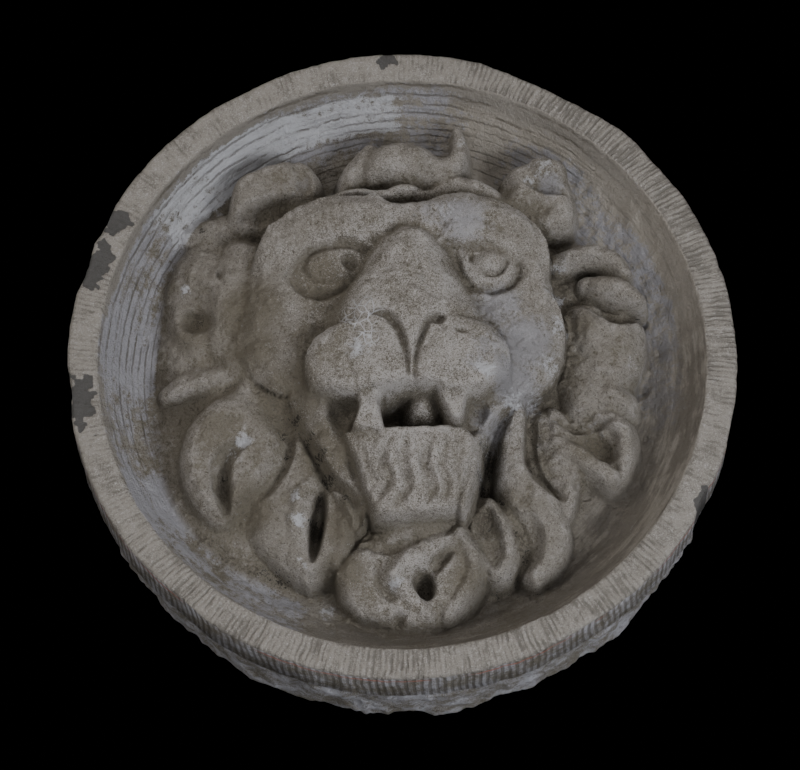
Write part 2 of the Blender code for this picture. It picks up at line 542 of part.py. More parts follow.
def hewn(angle, depth):
    """How far the rough side stands in or out, a slow wander that repeats round the drum."""
    return HEWN_ROUGHNESS * sum(share * np.sin(waves * angle + pitch * depth + start)
                                for waves, pitch, share, start in HEWN_WAVES)


def build_block():
    """The whole stone: the carved front, the dressed and the rough side, and the flat back."""
    points = carved_points()
    faces = triangulate(points)
    depth = THICKNESS - DISH_DEPTH + front_height(*points.T) * UNIT
    verts = np.stack([points[:, 0] * UNIT, -depth, points[:, 1] * UNIT], axis=1)
    inside = list(range(SIDE_FACETS, len(points)))
    turn = round_turn(SIDE_FACETS)
    rough = THICKNESS - DRESSED_SIDE
    stations = [(THICKNESS - EDGE_WEAR, 0, 0)]
    stations += [(share * rough, shrink, roughness) for share, shrink, roughness in ROUGH_RINGS]
    previous = np.arange(SIDE_FACETS)
    for level, shrink, roughness in stations:
        outer = OUTER_DIAMETER / 2 - lost_edge(turn) - shrink * BACK_SHRINK + roughness * hewn(turn, level)
        across, up = ring(turn, outer).T
        current = len(verts) + np.arange(SIDE_FACETS)
        verts = np.vstack([verts, np.stack([across, np.full(SIDE_FACETS, -level), up], axis=1)])
        quads = np.stack([previous, current, np.roll(current, -1), np.roll(previous, -1)], axis=1)
        faces += quads.tolist()
        previous = current
    faces.append(previous[::-1].tolist())
    mesh = bpy.data.meshes.new(NAME)
    mesh.from_pydata(verts.tolist(), [], faces)
    return mesh, inside


def stone_material():
    """Worn grey-brown stone."""
    material = bpy.data.materials.new("weathered_stone")
    material.use_nodes = True
    shader = material.node_tree.nodes["Principled BSDF"]
    shader.inputs["Base Color"].default_value = (0.215, 0.195, 0.172, 1)
    shader.inputs["Roughness"].default_value = 0.92
    shader.inputs["Metallic"].default_value = 0
    return material


def main():
    """Clears the scene and builds the medallion in a collection of its own."""
    for old in list(bpy.data.objects):
        bpy.data.objects.remove(old)
    collection = bpy.data.collections.new(NAME)
    bpy.context.scene.collection.children.link(collection)
    mesh, carved = build_block()
    medallion = bpy.data.objects.new(NAME, mesh)
    medallion.data.materials.append(stone_material())
    medallion.data.shade_smooth()
    medallion.data.set_sharp_from_angle(angle=math.radians(SHARP_EDGE))
    collection.objects.link(medallion)
    group = medallion.vertex_groups.new(name="carved")
    group.add(carved, 1, "REPLACE")
    facets = medallion.modifiers.new("facets", "DECIMATE")
    facets.vertex_group = group.name
    facets.vertex_group_factor = CARVING_HOLD
    facets.ratio = FACETS / sum(len(face.vertices) - 2 for face in mesh.polygons)


main()
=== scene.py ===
"""The lion head medallion as it looks: one carved block of sandstone, with its tool marks, wear and dirt, and
some painted light and shade in its colour.
"""
import math

import bpy
import numpy as np
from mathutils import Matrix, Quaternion, Vector
from mathutils.geometry import delaunay_2d_cdt


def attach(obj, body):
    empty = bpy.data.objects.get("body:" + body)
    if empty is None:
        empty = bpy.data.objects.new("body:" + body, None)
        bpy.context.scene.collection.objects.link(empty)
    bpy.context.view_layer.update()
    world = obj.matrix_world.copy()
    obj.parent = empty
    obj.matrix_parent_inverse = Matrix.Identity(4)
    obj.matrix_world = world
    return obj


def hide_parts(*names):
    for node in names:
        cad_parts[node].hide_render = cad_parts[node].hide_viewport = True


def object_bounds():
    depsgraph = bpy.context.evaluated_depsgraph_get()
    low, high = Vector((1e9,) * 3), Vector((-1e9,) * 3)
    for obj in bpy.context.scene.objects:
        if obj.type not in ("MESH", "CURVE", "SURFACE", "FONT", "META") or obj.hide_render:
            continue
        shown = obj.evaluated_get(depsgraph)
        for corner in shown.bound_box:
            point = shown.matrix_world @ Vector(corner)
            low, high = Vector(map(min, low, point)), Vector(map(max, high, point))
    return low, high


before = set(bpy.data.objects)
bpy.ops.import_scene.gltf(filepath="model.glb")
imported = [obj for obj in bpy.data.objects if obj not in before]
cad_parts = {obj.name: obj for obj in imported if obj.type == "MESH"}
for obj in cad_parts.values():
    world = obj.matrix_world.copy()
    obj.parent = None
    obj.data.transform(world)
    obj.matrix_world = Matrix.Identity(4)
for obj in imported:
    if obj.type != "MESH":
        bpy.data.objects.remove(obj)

# The block
# A thick round drum of sandstone, turned to a flat rim round a hollow dish and dressed with a chisel.
# The wall plane is y = 0 and the front looks along -Y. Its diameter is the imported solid's.
CAD_LOW, CAD_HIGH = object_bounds()
OUTER_DIAMETER = CAD_HIGH.x - CAD_LOW.x
THICKNESS = 0.170        # from the wall to the face of the rim
RIM_WIDTH = 0.030
DISH_DEPTH = 0.062       # from the face of the rim to the floor of the dish
DISH_SWEEP = 0.066       # how far the hollow curve of the dish runs in from the rim
DISH_HOLLOWNESS = 2.2    # the power of that curve
DRESSED_SIDE = 0.059     # the part of the side behind the front edge that is dressed smooth
BACK_SHRINK = 0.012      # how much the rough side draws in towards the wall
EDGE_WEAR = 0.0025       # the worn chamfer round the front edge
LION_HEIGHT = 0.500      # from the tip of the beard to the top of the forelock
INNER_RADIUS = OUTER_DIAMETER / 2 - RIM_WIDTH
UNIT = LION_HEIGHT / 500  # the carving's own measure: every form of the lion is given in it


FILLET_GROWTH = 3        # how soon the fillet round a form reaches its full size, inward from the outline
SMALLEST_FILLET = 0.02   # its share on the outline


def smooth_path(points, steps, closed=False):
    """Rows of numbers along a Catmull-Rom curve through the points."""
    rows = np.array(points, float)
    if closed:
        rows = np.vstack([rows[-1], rows, rows[:2]])
    else:
        rows = np.vstack([2 * rows[0] - rows[1], rows, 2 * rows[-1] - rows[-2]])
    path = []
    for before, start, end, after in zip(rows, rows[1:], rows[2:], rows[3:]):
        for t in np.arange(steps) / steps:
            swing = (end - before) * t
            bend = (2 * before - 5 * start + 4 * end - after) * t**2
            turn = (3 * start - before - 3 * end + after) * t**3
            path.append(start + 0.5 * (swing + bend + turn))
    if not closed:
        path.append(rows[-2])
    return np.array(path)


def ease(start, end, value):
    """0 before start, 1 after end, and a soft step between them."""
    t = np.clip((value - start) / (end - start), 0, 1)
    return t * t * (3 - 2 * t)


class Carving:
    """Points across the stone and their height over the floor of the dish, all in UNITs.

    across runs to the right, up runs to the top, and a height is towards the viewer.
    """

    def __init__(self, across, up, height):
        self.across = across
        self.up = up
        self.height = height

    def window(self, path, margin):
        """The points inside the box round a path."""
        low = path[:, :2].min(axis=0) - margin
        high = path[:, :2].max(axis=0) + margin
        inside = (self.across > low[0]) & (self.across < high[0]) & (self.up > low[1]) & (self.up < high[1])
        return np.flatnonzero(inside)

    def turned(self, at, centre, half_sizes, turn):
        """How far the points lie from the centre, as shares of the half sizes of a turned oval."""
        angle = math.radians(turn)
        right = self.across[at] - centre[0]
        above = self.up[at] - centre[1]
        along = (right * math.cos(angle) + above * math.sin(angle)) / half_sizes[0]
        over = (above * math.cos(angle) - right * math.sin(angle)) / half_sizes[1]
        return np.abs(along), np.abs(over)

    def raise_to(self, at, height, blend, rise):
        """Adds stone up to a height, with a fillet where the two surfaces meet.

        rise is 0 on the outline of what is added, and there the fillet runs out.
        """
        here = self.height[at]
        blend = blend * np.clip(FILLET_GROWTH * rise, SMALLEST_FILLET, 1)
        share = np.clip(0.5 + 0.5 * (height - here) / blend, 0, 1)
        self.height[at] = here + (height - here) * share + blend * share * (1 - share)

    def mound(self, centre, half_sizes, top, foot=8, turn=0, squareness=2, fullness=2, blend=3):
        """A rounded oval lump."""
        reach = max(half_sizes)
        at = self.window(np.array([centre], float), reach)
        along, over = self.turned(at, centre, half_sizes, turn)
        radius = (along**squareness + over**squareness)**(1 / squareness)
        inside = radius < 1
        rise = (1 - radius[inside]**fullness)**(1 / fullness)
        self.raise_to(at[inside], foot + (top - foot) * rise, blend, rise)

    def hollow(self, centre, half_sizes, depth, turn=0, steepness=2):
        """An oval hollow sunk into what is there."""
        at = self.window(np.array([centre], float), max(half_sizes))
        along, over = self.turned(at, centre, half_sizes, turn)
        radius = np.hypot(along, over)
        inside = radius < 1
        self.height[at[inside]] -= depth * (1 - radius[inside]**steepness)**2

    def lock(self, spine, foot=8, crest=0, fullness=2, blend=3):
        """A lock of hair or a ridge along a spine of (across, up, half width, top).

        crest moves its highest line to the left of the way it runs, as a share of the half width.
        """
        path = smooth_path(spine, steps=7)
        at = self.window(path, path[:, 2].max())
        across, up = self.across[at], self.up[at]
        best = np.full(len(at), -np.inf)
        inward = np.zeros(len(at))
        for start, end in zip(path, path[1:]):
            run = end[:2] - start[:2]
            offset = (across - start[0], up - start[1])
            t = np.clip((offset[0] * run[0] + offset[1] * run[1]) / (run @ run), 0, 1)
            right, above = offset[0] - t * run[0], offset[1] - t * run[1]
            half_width = start[2] + t * (end[2] - start[2])
            radius = np.hypot(right, above) / half_width
            inside = radius < 1
            if crest:
                side = np.sign(run[0] * above - run[1] * right) * radius
                radius = np.where(side > crest, (side - crest) / (1 - crest), (crest - side) / (1 + crest))
            rise = (1 - np.clip(radius, 0, 1)**fullness)**(1 / 2)
            top = start[3] + t * (end[3] - start[3])
            best = np.where(inside, np.maximum(best, foot + (top - foot) * rise), best)
            inward = np.maximum(inward, np.where(inside, rise, 0))
        found = np.isfinite(best)
        self.raise_to(at[found], best[found], blend, inward[found])

    def cut(self, line):
        """A rounded cut along a line of (across, up, half width, depth)."""
        path = smooth_path(line, steps=7)
        at = self.window(path, path[:, 2].max())
        across, up = self.across[at], self.up[at]
        deepest = np.zeros(len(at))
        for start, end in zip(path, path[1:]):
            run = end[:2] - start[:2]
            offset = (across - start[0], up - start[1])
            t = np.clip((offset[0] * run[0] + offset[1] * run[1]) / (run @ run), 0, 1)
            half_width = start[2] + t * (end[2] - start[2])
            depth = start[3] + t * (end[3] - start[3])
            radius = np.hypot(offset[0] - t * run[0], offset[1] - t * run[1]) / half_width
            deepest = np.maximum(deepest, depth * np.clip(1 - radius**2, 0, 1))
        self.height[at] -= deepest

    def plate(self, outline, top, foot=8, edge=14, blend=4, crown=0):
        """A slab inside a smooth outline, rounded over along its edge. top may be a function."""
        ring = smooth_path(outline, steps=4, closed=True)
        at = self.window(ring, 0)
        across, up = self.across[at], self.up[at]
        inside = np.zeros(len(at), bool)
        distance = np.full(len(at), np.inf)
        for start, end in zip(ring, np.roll(ring, -1, axis=0)):
            run = end - start
            t = np.clip(((across - start[0]) * run[0] + (up - start[1]) * run[1]) / (run @ run), 0, 1)
            away = np.hypot(across - start[0] - t * run[0], up - start[1] - t * run[1])
            distance = np.minimum(distance, away)
            if run[1]:
                beside = across < start[0] + (up - start[1]) * run[0] / run[1]
                inside ^= ((start[1] > up) != (end[1] > up)) & beside
        at, distance, across, up = at[inside], distance[inside], across[inside], up[inside]
        level = top(across, up) if callable(top) else top
        level = level + crown * np.clip(distance / (3 * edge), 0, 1)
        rounding = np.sqrt(1 - np.clip(1 - distance / edge, 0, 1)**2)
        self.raise_to(at, foot + (level - foot) * rounding, blend, rounding)


def block_height(across, up):
    """Height of the turned block over the floor of the dish: flat rim, hollow curve, flat floor."""
    radius = np.hypot(across, up) * UNIT
    inner = OUTER_DIAMETER / 2 - RIM_WIDTH
    outward = np.clip((radius - inner + DISH_SWEEP) / DISH_SWEEP, 0, 1)
    return DISH_DEPTH / UNIT * outward**DISH_HOLLOWNESS


# The mane
# Thick flame-shaped locks cut round the head and hollowed with a gouge. The left side has a block-shaped
# lock, a scroll and two broad leaves with drilled hollows; the right side has short locks over curling ones.
def carve_mane_on_the_left(stone):
    """The locks from the top round the left side down to the beard."""
    stone.mound((-166, 40), (84, 128), 42, foot=-8, squareness=2.4, fullness=1.5, blend=8)
    stone.mound((-140, -96), (124, 150), 44, foot=-10, squareness=2.2, fullness=1.3, blend=8)
    stone.lock([(-156, 122, 24, 46), (-166, 80, 28, 52), (-168, 40, 28, 52),
                (-160, 0, 24, 50)], foot=16, blend=14)
    stone.plate([(-170, 146), (-172, 192), (-156, 212), (-114, 225), (-90, 219), (-77, 194), (-86, 166),
                 (-116, 142)], 48, edge=12, crown=2)
    stone.hollow((-132, 153), (52, 27), 18, turn=16, steepness=4)
    stone.cut([(-110, 220, 5, 3), (-98, 200, 8, 5), (-92, 178, 8, 6)])
    stone.lock([(-208, 146, 16, 20), (-182, 154, 20, 28), (-156, 158, 17, 33)], foot=0, blend=14)
    stone.mound((-184, 72), (56, 78), 46, foot=-4, turn=4, squareness=2.2, fullness=1.6, blend=14)
    stone.hollow((-203, 62), (26, 34), 12, turn=16)
    stone.hollow((-205, 50), (22, 14), 9, turn=-14, steepness=4)
    stone.cut([(-178, 84, 2, 2), (-181, 94, 4, 8), (-178, 104, 3, 4)])
    stone.lock([(-232, -22, 11, 24), (-212, -15, 16, 36), (-180, -6, 20, 44), (-146, 4, 20, 47)],
               crest=-0.3, blend=6)
    stone.plate([(-148, 4), (-136, -28), (-119, -54), (-113, -80), (-118, -106), (-134, -132), (-156, -154),
                 (-176, -170), (-198, -158), (-215, -130), (-221, -96), (-214, -62), (-194, -38),
                 (-170, -22)],
                51, edge=20, crown=4, blend=9)
    stone.cut([(-154, -84, 5, 4), (-166, -91, 9, 10), (-176, -105, 12, 18), (-177, -124, 11, 25),
               (-174, -143, 8, 20), (-173, -158, 5, 7)])
    stone.plate([(-120, -40), (-100, -56), (-86, -86), (-70, -116), (-52, -138), (-44, -168), (-56, -203),
                 (-90, -226), (-122, -210), (-152, -178), (-152, -146), (-134, -112), (-122, -72)],
                lambda across, up: 45 + 0.1 * (across + 100), edge=20, blend=9)
    stone.lock([(-84, -118, 9, 47), (-97, -136, 12, 52), (-105, -165, 12, 51), (-101, -192, 12, 45),
                (-92, -220, 7, 36)], foot=26)
    stone.lock([(-70, -132, 8, 46), (-59, -150, 12, 52), (-57, -178, 12, 52), (-66, -204, 9, 45)], foot=24)
    stone.cut([(-78, -130, 4, 8), (-81, -148, 8, 28), (-84, -170, 9, 34), (-86, -190, 7, 24),
               (-88, -204, 3, 8)])
    stone.hollow((-72, -216), (11, 11), 12, steepness=3)
    stone.cut([(-148, 0, 3, 5), (-133, -30, 4, 11), (-116, -56, 5, 16), (-110, -82, 6, 17),
               (-116, -108, 6, 12),
               (-132, -134, 4, 5)])


def carve_mane_on_the_right(stone):
    """The locks from the top round the right side down to the beard."""
    stone.plate([(90, 166), (98, 204), (122, 221), (154, 222), (172, 198), (178, 164), (166, 140),
                 (124, 142)],
                46, edge=16, blend=7)
    stone.hollow((103, 194), (18, 28), 14, turn=8)
    stone.hollow((134, 162), (24, 34), 6, turn=-12)
    stone.mound((147, 206), (21, 15), 56, foot=36, turn=-16, squareness=2.6, blend=3)
    stone.cut([(124, 194, 3, 4), (140, 188, 5, 10), (158, 184, 5, 10), (172, 180, 2, 3)])
    stone.mound((64, 190), (20, 13), 49, turn=10, blend=6)
    stone.lock([(160, 110, 15, 42), (186, 117, 16, 50), (210, 110, 15, 52), (223, 97, 10, 46)], blend=6)
    stone.plate([(164, 66), (200, 64), (238, 52), (245, 22), (238, -6), (231, -22), (237, -40), (228, -57),
                 (196, -58), (168, -60), (154, -30), (156, 20)], 47, edge=28, crown=4, blend=8)
    stone.hollow((168, 14), (26, 56), 10, turn=4)
    stone.cut([(242, -14, 7, 4), (216, -22, 11, 6), (184, -16, 9, 3)])
    stone.lock([(184, 86, 11, 44), (201, 82, 16, 54), (221, 74, 17, 59), (235, 66, 11, 53)])
    stone.cut([(184, 62, 4, 4), (200, 54, 6, 11), (216, 48, 8, 14), (243, 55, 4, 8)])
    stone.plate([(150, -62), (200, -50), (230, -56), (235, -88), (222, -114), (206, -130), (186, -124),
                 (160, -112)], 34, edge=14, blend=8)
    stone.lock([(196, -54, 12, 44), (216, -68, 13, 48), (219, -94, 12, 46), (214, -117, 8, 38)], fullness=2.5)
    stone.lock([(146, -60, 20, 34), (152, -92, 22, 41), (160, -124, 15, 42), (158, -152, 10, 38)],
               crest=0.4, fullness=3, blend=6)
    stone.lock([(152, -84, 14, 44), (180, -101, 14, 51), (204, -119, 12, 50)], fullness=3)
    stone.hollow((194, -86), (14, 22), 17, turn=32, steepness=4)
    stone.hollow((176, -124), (12, 9), 14, steepness=4)
    stone.cut([(150, -56, 4, 5), (170, -66, 6, 12), (190, -64, 5, 10), (208, -58, 3, 5)])
    stone.lock([(108, -50, 15, 50), (104, -85, 17, 53), (105, -112, 19, 53), (118, -142, 30, 51),
                (133, -168, 32, 48), (135, -192, 27, 44), (128, -210, 17, 38), (129, -222, 8, 31)],
               crest=0.45, fullness=3, blend=5)
    stone.hollow((122, -188), (17, 32), 14, turn=-8, steepness=3)
    stone.cut([(128, -54, 6, 6), (125, -88, 8, 17), (129, -112, 8, 19), (143, -130, 7, 14),
               (157, -140, 4, 6)])
    stone.plate([(72, -130), (88, -134), (106, -158), (115, -184), (113, -208), (100, -226), (80, -224),
                 (66, -204), (60, -168)], 46, edge=13)
    stone.hollow((84, -180), (15, 36), 17, turn=12, steepness=4)
    stone.cut([(84, -126, 4, 6), (102, -152, 5, 7), (118, -174, 5, 7), (121, -196, 5, 7), (110, -220, 4, 5)])


def carve_forelock(stone):
    """The comma-shaped lock over the brow, and the flat little locks below it."""
    stone.lock([(-58, 184, 12, 38), (-46, 206, 18, 44), (-30, 230, 15, 41)], blend=8)
    stone.lock([(-28, 206, 14, 49), (-10, 217, 24, 61), (15, 213, 26, 63), (38, 206, 21, 59),
                (54, 213, 15, 55), (60, 232, 11, 50), (57, 254, 7, 43)], fullness=3, blend=5)
    stone.hollow((36, 226), (14, 12), 8, turn=30)
    stone.lock([(-80, 174, 5, 48), (-50, 180, 9, 59), (-16, 180, 6, 56)], blend=5)
    stone.lock([(-20, 178, 5, 50), (4, 184, 10, 57), (28, 178, 5, 50)], blend=5)
    stone.lock([(26, 180, 9, 50), (54, 187, 18, 58), (84, 180, 17, 57), (102, 160, 12, 50)], blend=8)


def carve_beard(stone):
    """The throat below the jaw, and the beard in two curling tufts."""
    stone.lock([(14, -164, 42, 66), (12, -200, 46, 54)], fullness=3)
    stone.plate([(-40, -184), (-64, -212), (-61, -240), (-38, -258), (-8, -269), (26, -271), (48, -256),
                 (66, -234), (76, -206), (58, -180), (20, -172)],
                lambda across, up: 48 + 0.14 * (up + 215), edge=18)
    stone.lock([(-34, -198, 14, 48), (-49, -219, 17, 48), (-38, -243, 15, 43), (-14, -254, 11, 39)], foot=20,
               blend=5)
    stone.lock([(54, -184, 13, 60), (22, -198, 17, 62), (-6, -217, 16, 60), (5, -239, 15, 54),
                (26, -259, 9, 45)], foot=20, blend=4)
    stone.lock([(55, -180, 12, 60), (69, -208, 13, 57), (61, -233, 12, 51),
                (42, -257, 8, 43)], foot=20, blend=4)
    stone.hollow((20, -229), (12, 18), 28, turn=20, steepness=4)
    stone.cut([(25, -220, 8, 10), (38, -204, 8, 10), (52, -188, 5, 4)])
    stone.cut([(-24, -206, 4, 3), (-25, -226, 5, 6), (-12, -242, 5, 5)])
    stone.hollow((-4, -262), (9, 8), 12)
    stone.cut([(-36, -191, 5, 4), (-12, -195, 7, 9), (14, -186, 6, 7), (34, -179, 4, 2)])


# The face
# A broad mask with heavy brows, a flat-fronted nose and a full upper lip over an open mouth. The mouth is
# drilled out round the tongue, two canine teeth stand in it, and the chin is a shield with waved grooves.
def carve_brow_and_cheeks(stone):
    """The broad mask of the face, and the jaw's two long slopes from the cheeks down to the beard."""
    mask = [(-154, 97), (-137, 126), (-110, 150), (-61, 166), (-12, 168), (24, 171), (83, 163), (110, 148),
            (138, 118), (152, 81), (154, 22), (146, -13), (123, -48), (98, -68), (84, -102), (64, -150),
            (16, -172), (-34, -162), (-60, -134), (-82, -97), (-101, -60), (-128, -24), (-150, 13),
            (-157, 60)]
    stone.plate(mask, lambda across, up: 63 + 11 * ease(70, 150, up), edge=15, crown=4)
    stone.lock([(-134, 96, 15, 66), (-114, 120, 26, 75), (-80, 136, 31, 79), (-42, 142, 30, 82),
                (-12, 144, 19, 80)], foot=60, blend=12)
    stone.lock([(26, 146, 19, 81), (58, 144, 30, 85), (94, 134, 31, 82), (120, 114, 26, 76),
                (132, 96, 16, 68)], foot=60, blend=12)
    stone.hollow((2, 130), (24, 24), 9)
    stone.mound((-108, 22), (54, 60), 73, foot=50, blend=16)
    stone.mound((112, 24), (50, 66), 75, foot=50, blend=16)
    stone.plate([(-112, -44), (-88, -36), (-68, -52), (-56, -84), (-46, -120), (-34, -158), (-44, -180),
                 (-58, -160), (-74, -126), (-90, -92)],
                lambda across, up: 61 + 0.45 * (across + 103 + 0.454 * (57 + up)), foot=46, edge=10, blend=8)
    stone.plate([(112, -38), (90, -34), (74, -52), (64, -84), (60, -122), (50, -160), (60, -172),
                 (70, -150), (76, -122), (82, -90), (96, -60)],
                lambda across, up: 64 + 0.3 * (102 - across - 0.35 * (50 + up)), foot=44, edge=9, blend=7)


LIP_LINE = [(-120, -36), (-96, -38), (-78, -46), (-46, -52), (-22, -47), (7, -42), (34, -45), (42, -51),
            (76, -50), (96, -36), (120, -28)]
LIP_ROUNDING = 5
LIP_STEEPNESS = 9
HOLE_FLOOR = 20
BELOW_STONE = -50


def carve_mouth(stone):
    """The opening between the jaws, its drilled hole and the tongue in it."""
    from_middle = np.abs(stone.across - 8)
    gap = ease(-88, -78, stone.up) * (1 - ease(-30, -20, stone.up)) * (1 - ease(76, 92, from_middle))
    floor = 60 + 12 * ease(50, 84, from_middle)
    stone.height -= gap * np.maximum(stone.height - floor, 0)
    hole = ease(-84, -78, stone.up) * (1 - ease(-36, -30, stone.up))
    hole = hole * (1 - ease(30, 34, np.abs(stone.across - 7)))
    stone.height -= hole * np.maximum(stone.height - HOLE_FLOOR, 0)
    stone.mound((20, -54), (22, 24), 77, foot=HOLE_FLOOR, squareness=2.4, blend=1)


def carve_muzzle(stone):
    """The flat-fronted nose and the upper lip's two pads, cut off below along the line of the lip."""
    lip = np.interp(stone.across, *zip(*LIP_LINE))
    muzzle = Carving(stone.across, stone.up, np.full(len(stone.up), float(BELOW_STONE)))
    muzzle.lock([(10, 104, 34, 93), (7, 82, 51, 100), (6, 58, 64, 105), (4, 32, 73, 109), (6, 4, 87, 110),
                 (8, -28, 90, 107)], foot=34, fullness=3.5)
    muzzle.mound((-42, -20), (54, 44), 113, foot=92, squareness=2.2, blend=22)
    muzzle.mound((57, -18), (50, 46), 112, foot=92, squareness=2.2, blend=22)
    muzzle.lock([(9, 44, 28, 108), (9, 24, 28, 114), (9, 0, 15, 114), (9, -42, 5, 108)], foot=98, blend=10)
    above = muzzle.up - lip
    muzzle.height -= LIP_ROUNDING * np.clip(1 - above / LIP_ROUNDING, 0, 1)**2.5
    muzzle.height += LIP_STEEPNESS * np.minimum(above, 0)
    standing = np.flatnonzero(muzzle.height > 0)
    stone.raise_to(standing, muzzle.height[standing], blend=10, rise=1)
    stone.cut([(-28, 29, 4, 6), (-14, 26, 5, 13), (-2, 8, 5, 12), (4, -15, 4, 9), (7, -42, 2.5, 6)])
    stone.hollow((35, 22), (9, 8), 14, steepness=4)
    stone.cut([(27, 22, 4, 10), (20, 5, 4.5, 11), (14, -13, 4, 9), (11, -42, 2.5, 6)])
    stone.cut([(78, 30, 7, 2), (99, 4, 7, 3), (102, -26, 6, 3)])
    stone.hollow((58, 9), (9, 5), 6, turn=-20)


def carve_jaw_and_teeth(stone):
    """The hollows at the corners of the mouth, two canine teeth, and the shield of the chin with its waved
    grooves and the long grooves beside it.
    """
    shield = [(-57, -82), (-7, -79), (44, -77), (66, -81), (75, -100), (68, -127), (61, -150), (50, -168),
              (16, -175), (-24, -175), (-36, -158), (-47, -121), (-58, -98)]
    stone.plate(shield, lambda across, up: 97 - 10 * ((across - 12) / 60)**2 + 0.05 * (up + 80),
                foot=40, edge=9, blend=4)
    stone.hollow((-62, -62), (17, 17), 12)
    stone.hollow((74, -60), (13, 17), 13)
    stone.plate([(-54, -38), (-14, -38), (-20, -58), (-17, -88), (-50, -88),
                 (-44, -60)], 101, foot=24, edge=5)
    stone.plate([(30, -38), (67, -38), (64, -60), (59, -77), (48, -79), (38, -63)], 100, foot=24, edge=5)
    waves = [[(-38, -106, 3, 2), (-35, -121, 4, 3), (-30, -135, 4, 3), (-31, -150, 3, 2)],
             [(-13, -97, 3, 2), (-19, -116, 5, 5), (-13, -133, 5, 5), (-16, -146, 5, 5), (-27, -160, 4, 3)],
             [(6, -92, 3, 3), (0, -114, 6, 6), (4, -131, 5, 6), (5, -146, 6, 6), (-3, -158, 5, 5),
              (-14, -168, 3, 3)],
             [(29, -97, 3, 3), (21, -119, 6, 6), (27, -136, 6, 6), (29, -150, 6, 6), (21, -164, 4, 3)],
             [(43, -102, 3, 2), (37, -124, 5, 5), (43, -140, 5, 5), (40, -158, 4, 3)],
             [(57, -106, 3, 2), (52, -126, 4, 4), (56, -143, 3, 2)]]
    for wave in waves:
        stone.cut(wave)
    stone.cut([(106, -52, 5, 6), (91, -76, 9, 13), (86, -98, 11, 16), (82, -122, 10, 16), (70, -152, 6, 9)])
    stone.cut([(-104, -54, 4, 4), (-95, -78, 5, 9), (-84, -100, 6, 13), (-74, -122, 7, 15),
               (-52, -142, 6, 12),
               (-42, -165, 6, 10), (-48, -190, 5, 8)])


def carve_eye(stone, centre, turn, upper_lid, lower_lid):
    """A ball between two lids, in a shallow socket."""
    stone.hollow(centre, (54, 36), 9, turn=turn, steepness=3)
    stone.mound(centre, (44, 29), 77, foot=56, turn=turn, blend=3)
    stone.lock(upper_lid, foot=62, blend=5)
    stone.lock(lower_lid, foot=62, blend=5)


def carve_left_eye(stone):
    """The eye at the left, which slants up to the nose."""
    carve_eye(stone, (-68, 91), 19,
              upper_lid=[(-119, 84, 4, 69), (-102, 108, 6, 74), (-80, 120, 6, 78), (-46, 123, 6, 80),
                         (-25, 111, 4, 77)],
              lower_lid=[(-119, 82, 4, 69), (-106, 63, 6, 70), (-82, 52, 7, 72), (-56, 60, 6, 73),
                         (-36, 84, 5, 75), (-25, 108, 4, 76)])
    stone.cut([(-112, 84, 2.5, 2), (-102, 69, 3.5, 5), (-84, 60, 3.5, 5), (-60, 66, 3, 3), (-42, 84, 3, 2)])
    stone.cut([(-106, 98, 2.5, 2), (-84, 110, 3, 3), (-56, 114, 3, 3), (-38, 108, 3, 3)])
    stone.cut([(-93, 101, 3, 3), (-97, 90, 3.5, 5), (-88, 79, 3, 4), (-76, 76, 2, 2)])
    stone.hollow((-51, 97), (10, 12), 9, turn=20, steepness=4)


def carve_right_eye(stone):
    """The eye at the right, with its drilled corners."""
    carve_eye(stone, (80, 91), -6,
              upper_lid=[(30, 112, 4, 78), (46, 123, 6, 81), (68, 127, 6, 82), (91, 119, 6, 80),
                         (114, 105, 6, 75), (128, 96, 4, 69)],
              lower_lid=[(52, 78, 4, 73), (66, 62, 6, 72), (90, 55, 7, 73), (112, 63, 6, 72),
                         (126, 84, 4, 69)])
    stone.cut([(53, 106, 4, 8), (55, 96, 5, 11), (59, 84, 4, 8), (68, 73, 2.5, 4)])
    stone.cut([(66, 72, 2.5, 4), (89, 64, 3.5, 7), (105, 69, 4, 9), (115, 84, 4, 9), (116, 97, 2.5, 5)])
    stone.cut([(78, 86, 2, 3), (89, 81, 3, 6), (99, 86, 3.5, 8), (104, 97, 3, 6)])
    stone.hollow((69, 101), (5, 7), 6)
    stone.cut([(34, 131, 3, 2), (64, 137, 3, 3), (92, 131, 3, 3), (116, 116, 3, 2)])


# The gaps between the forms
# The ground between the locks is left shallow and round, as a carver leaves it, and only a few hollows are
# drilled deep. Any gap deeper than GAP_KEPT is therefore filled again, the more the deeper it is.
GAP_REACH = 13.5           # half the width of the gaps that this is done to
GAP_KEPT = 5             # a gap no deeper than this stays as it is cut
GAP_LIMIT = 9            # the most that a deep gap goes beyond that
GAP_GRID = 1.5           # the step of the grid on which the gaps are found
GAP_MIDDLE = -20         # how high the middle of the mane lies
GAP_FIELD = (204, 222)   # how far out from there the gaps are filled
DRILLED = [((8, -58), (42, 36), 0), ((-166, -116), (12, 44), -12), ((-88, -172), (15, 42), -8),
           ((24, -238), (16, 26), 0), ((94, -112), (16, 66), -14)]


def cut_front(across, up):
    """Height of the front over the floor of the dish, with its gaps as deep as they were cut."""
    stone = Carving(across, up, block_height(across, up))
    stone.mound((2, -8), (244, 246), 26, foot=-10, fullness=1.8, blend=6)
    carve_mane_on_the_right(stone)
    carve_mane_on_the_left(stone)
    carve_forelock(stone)
    carve_beard(stone)
    carve_brow_and_cheeks(stone)
    carve_mouth(stone)
    carve_muzzle(stone)
    carve_jaw_and_teeth(stone)
    carve_left_eye(stone)
    carve_right_eye(stone)
    return stone.height


def widened(grid, extreme):
    """Each cell of a grid takes the highest or the lowest value within GAP_REACH."""
    reach = round(GAP_REACH / GAP_GRID)
    found = grid
    for down in range(-reach, reach + 1):
        for over in range(-reach, reach + 1):
            if math.hypot(down, over) <= reach:
                found = extreme(found, np.roll(grid, (down, over), (0, 1)))
    return found


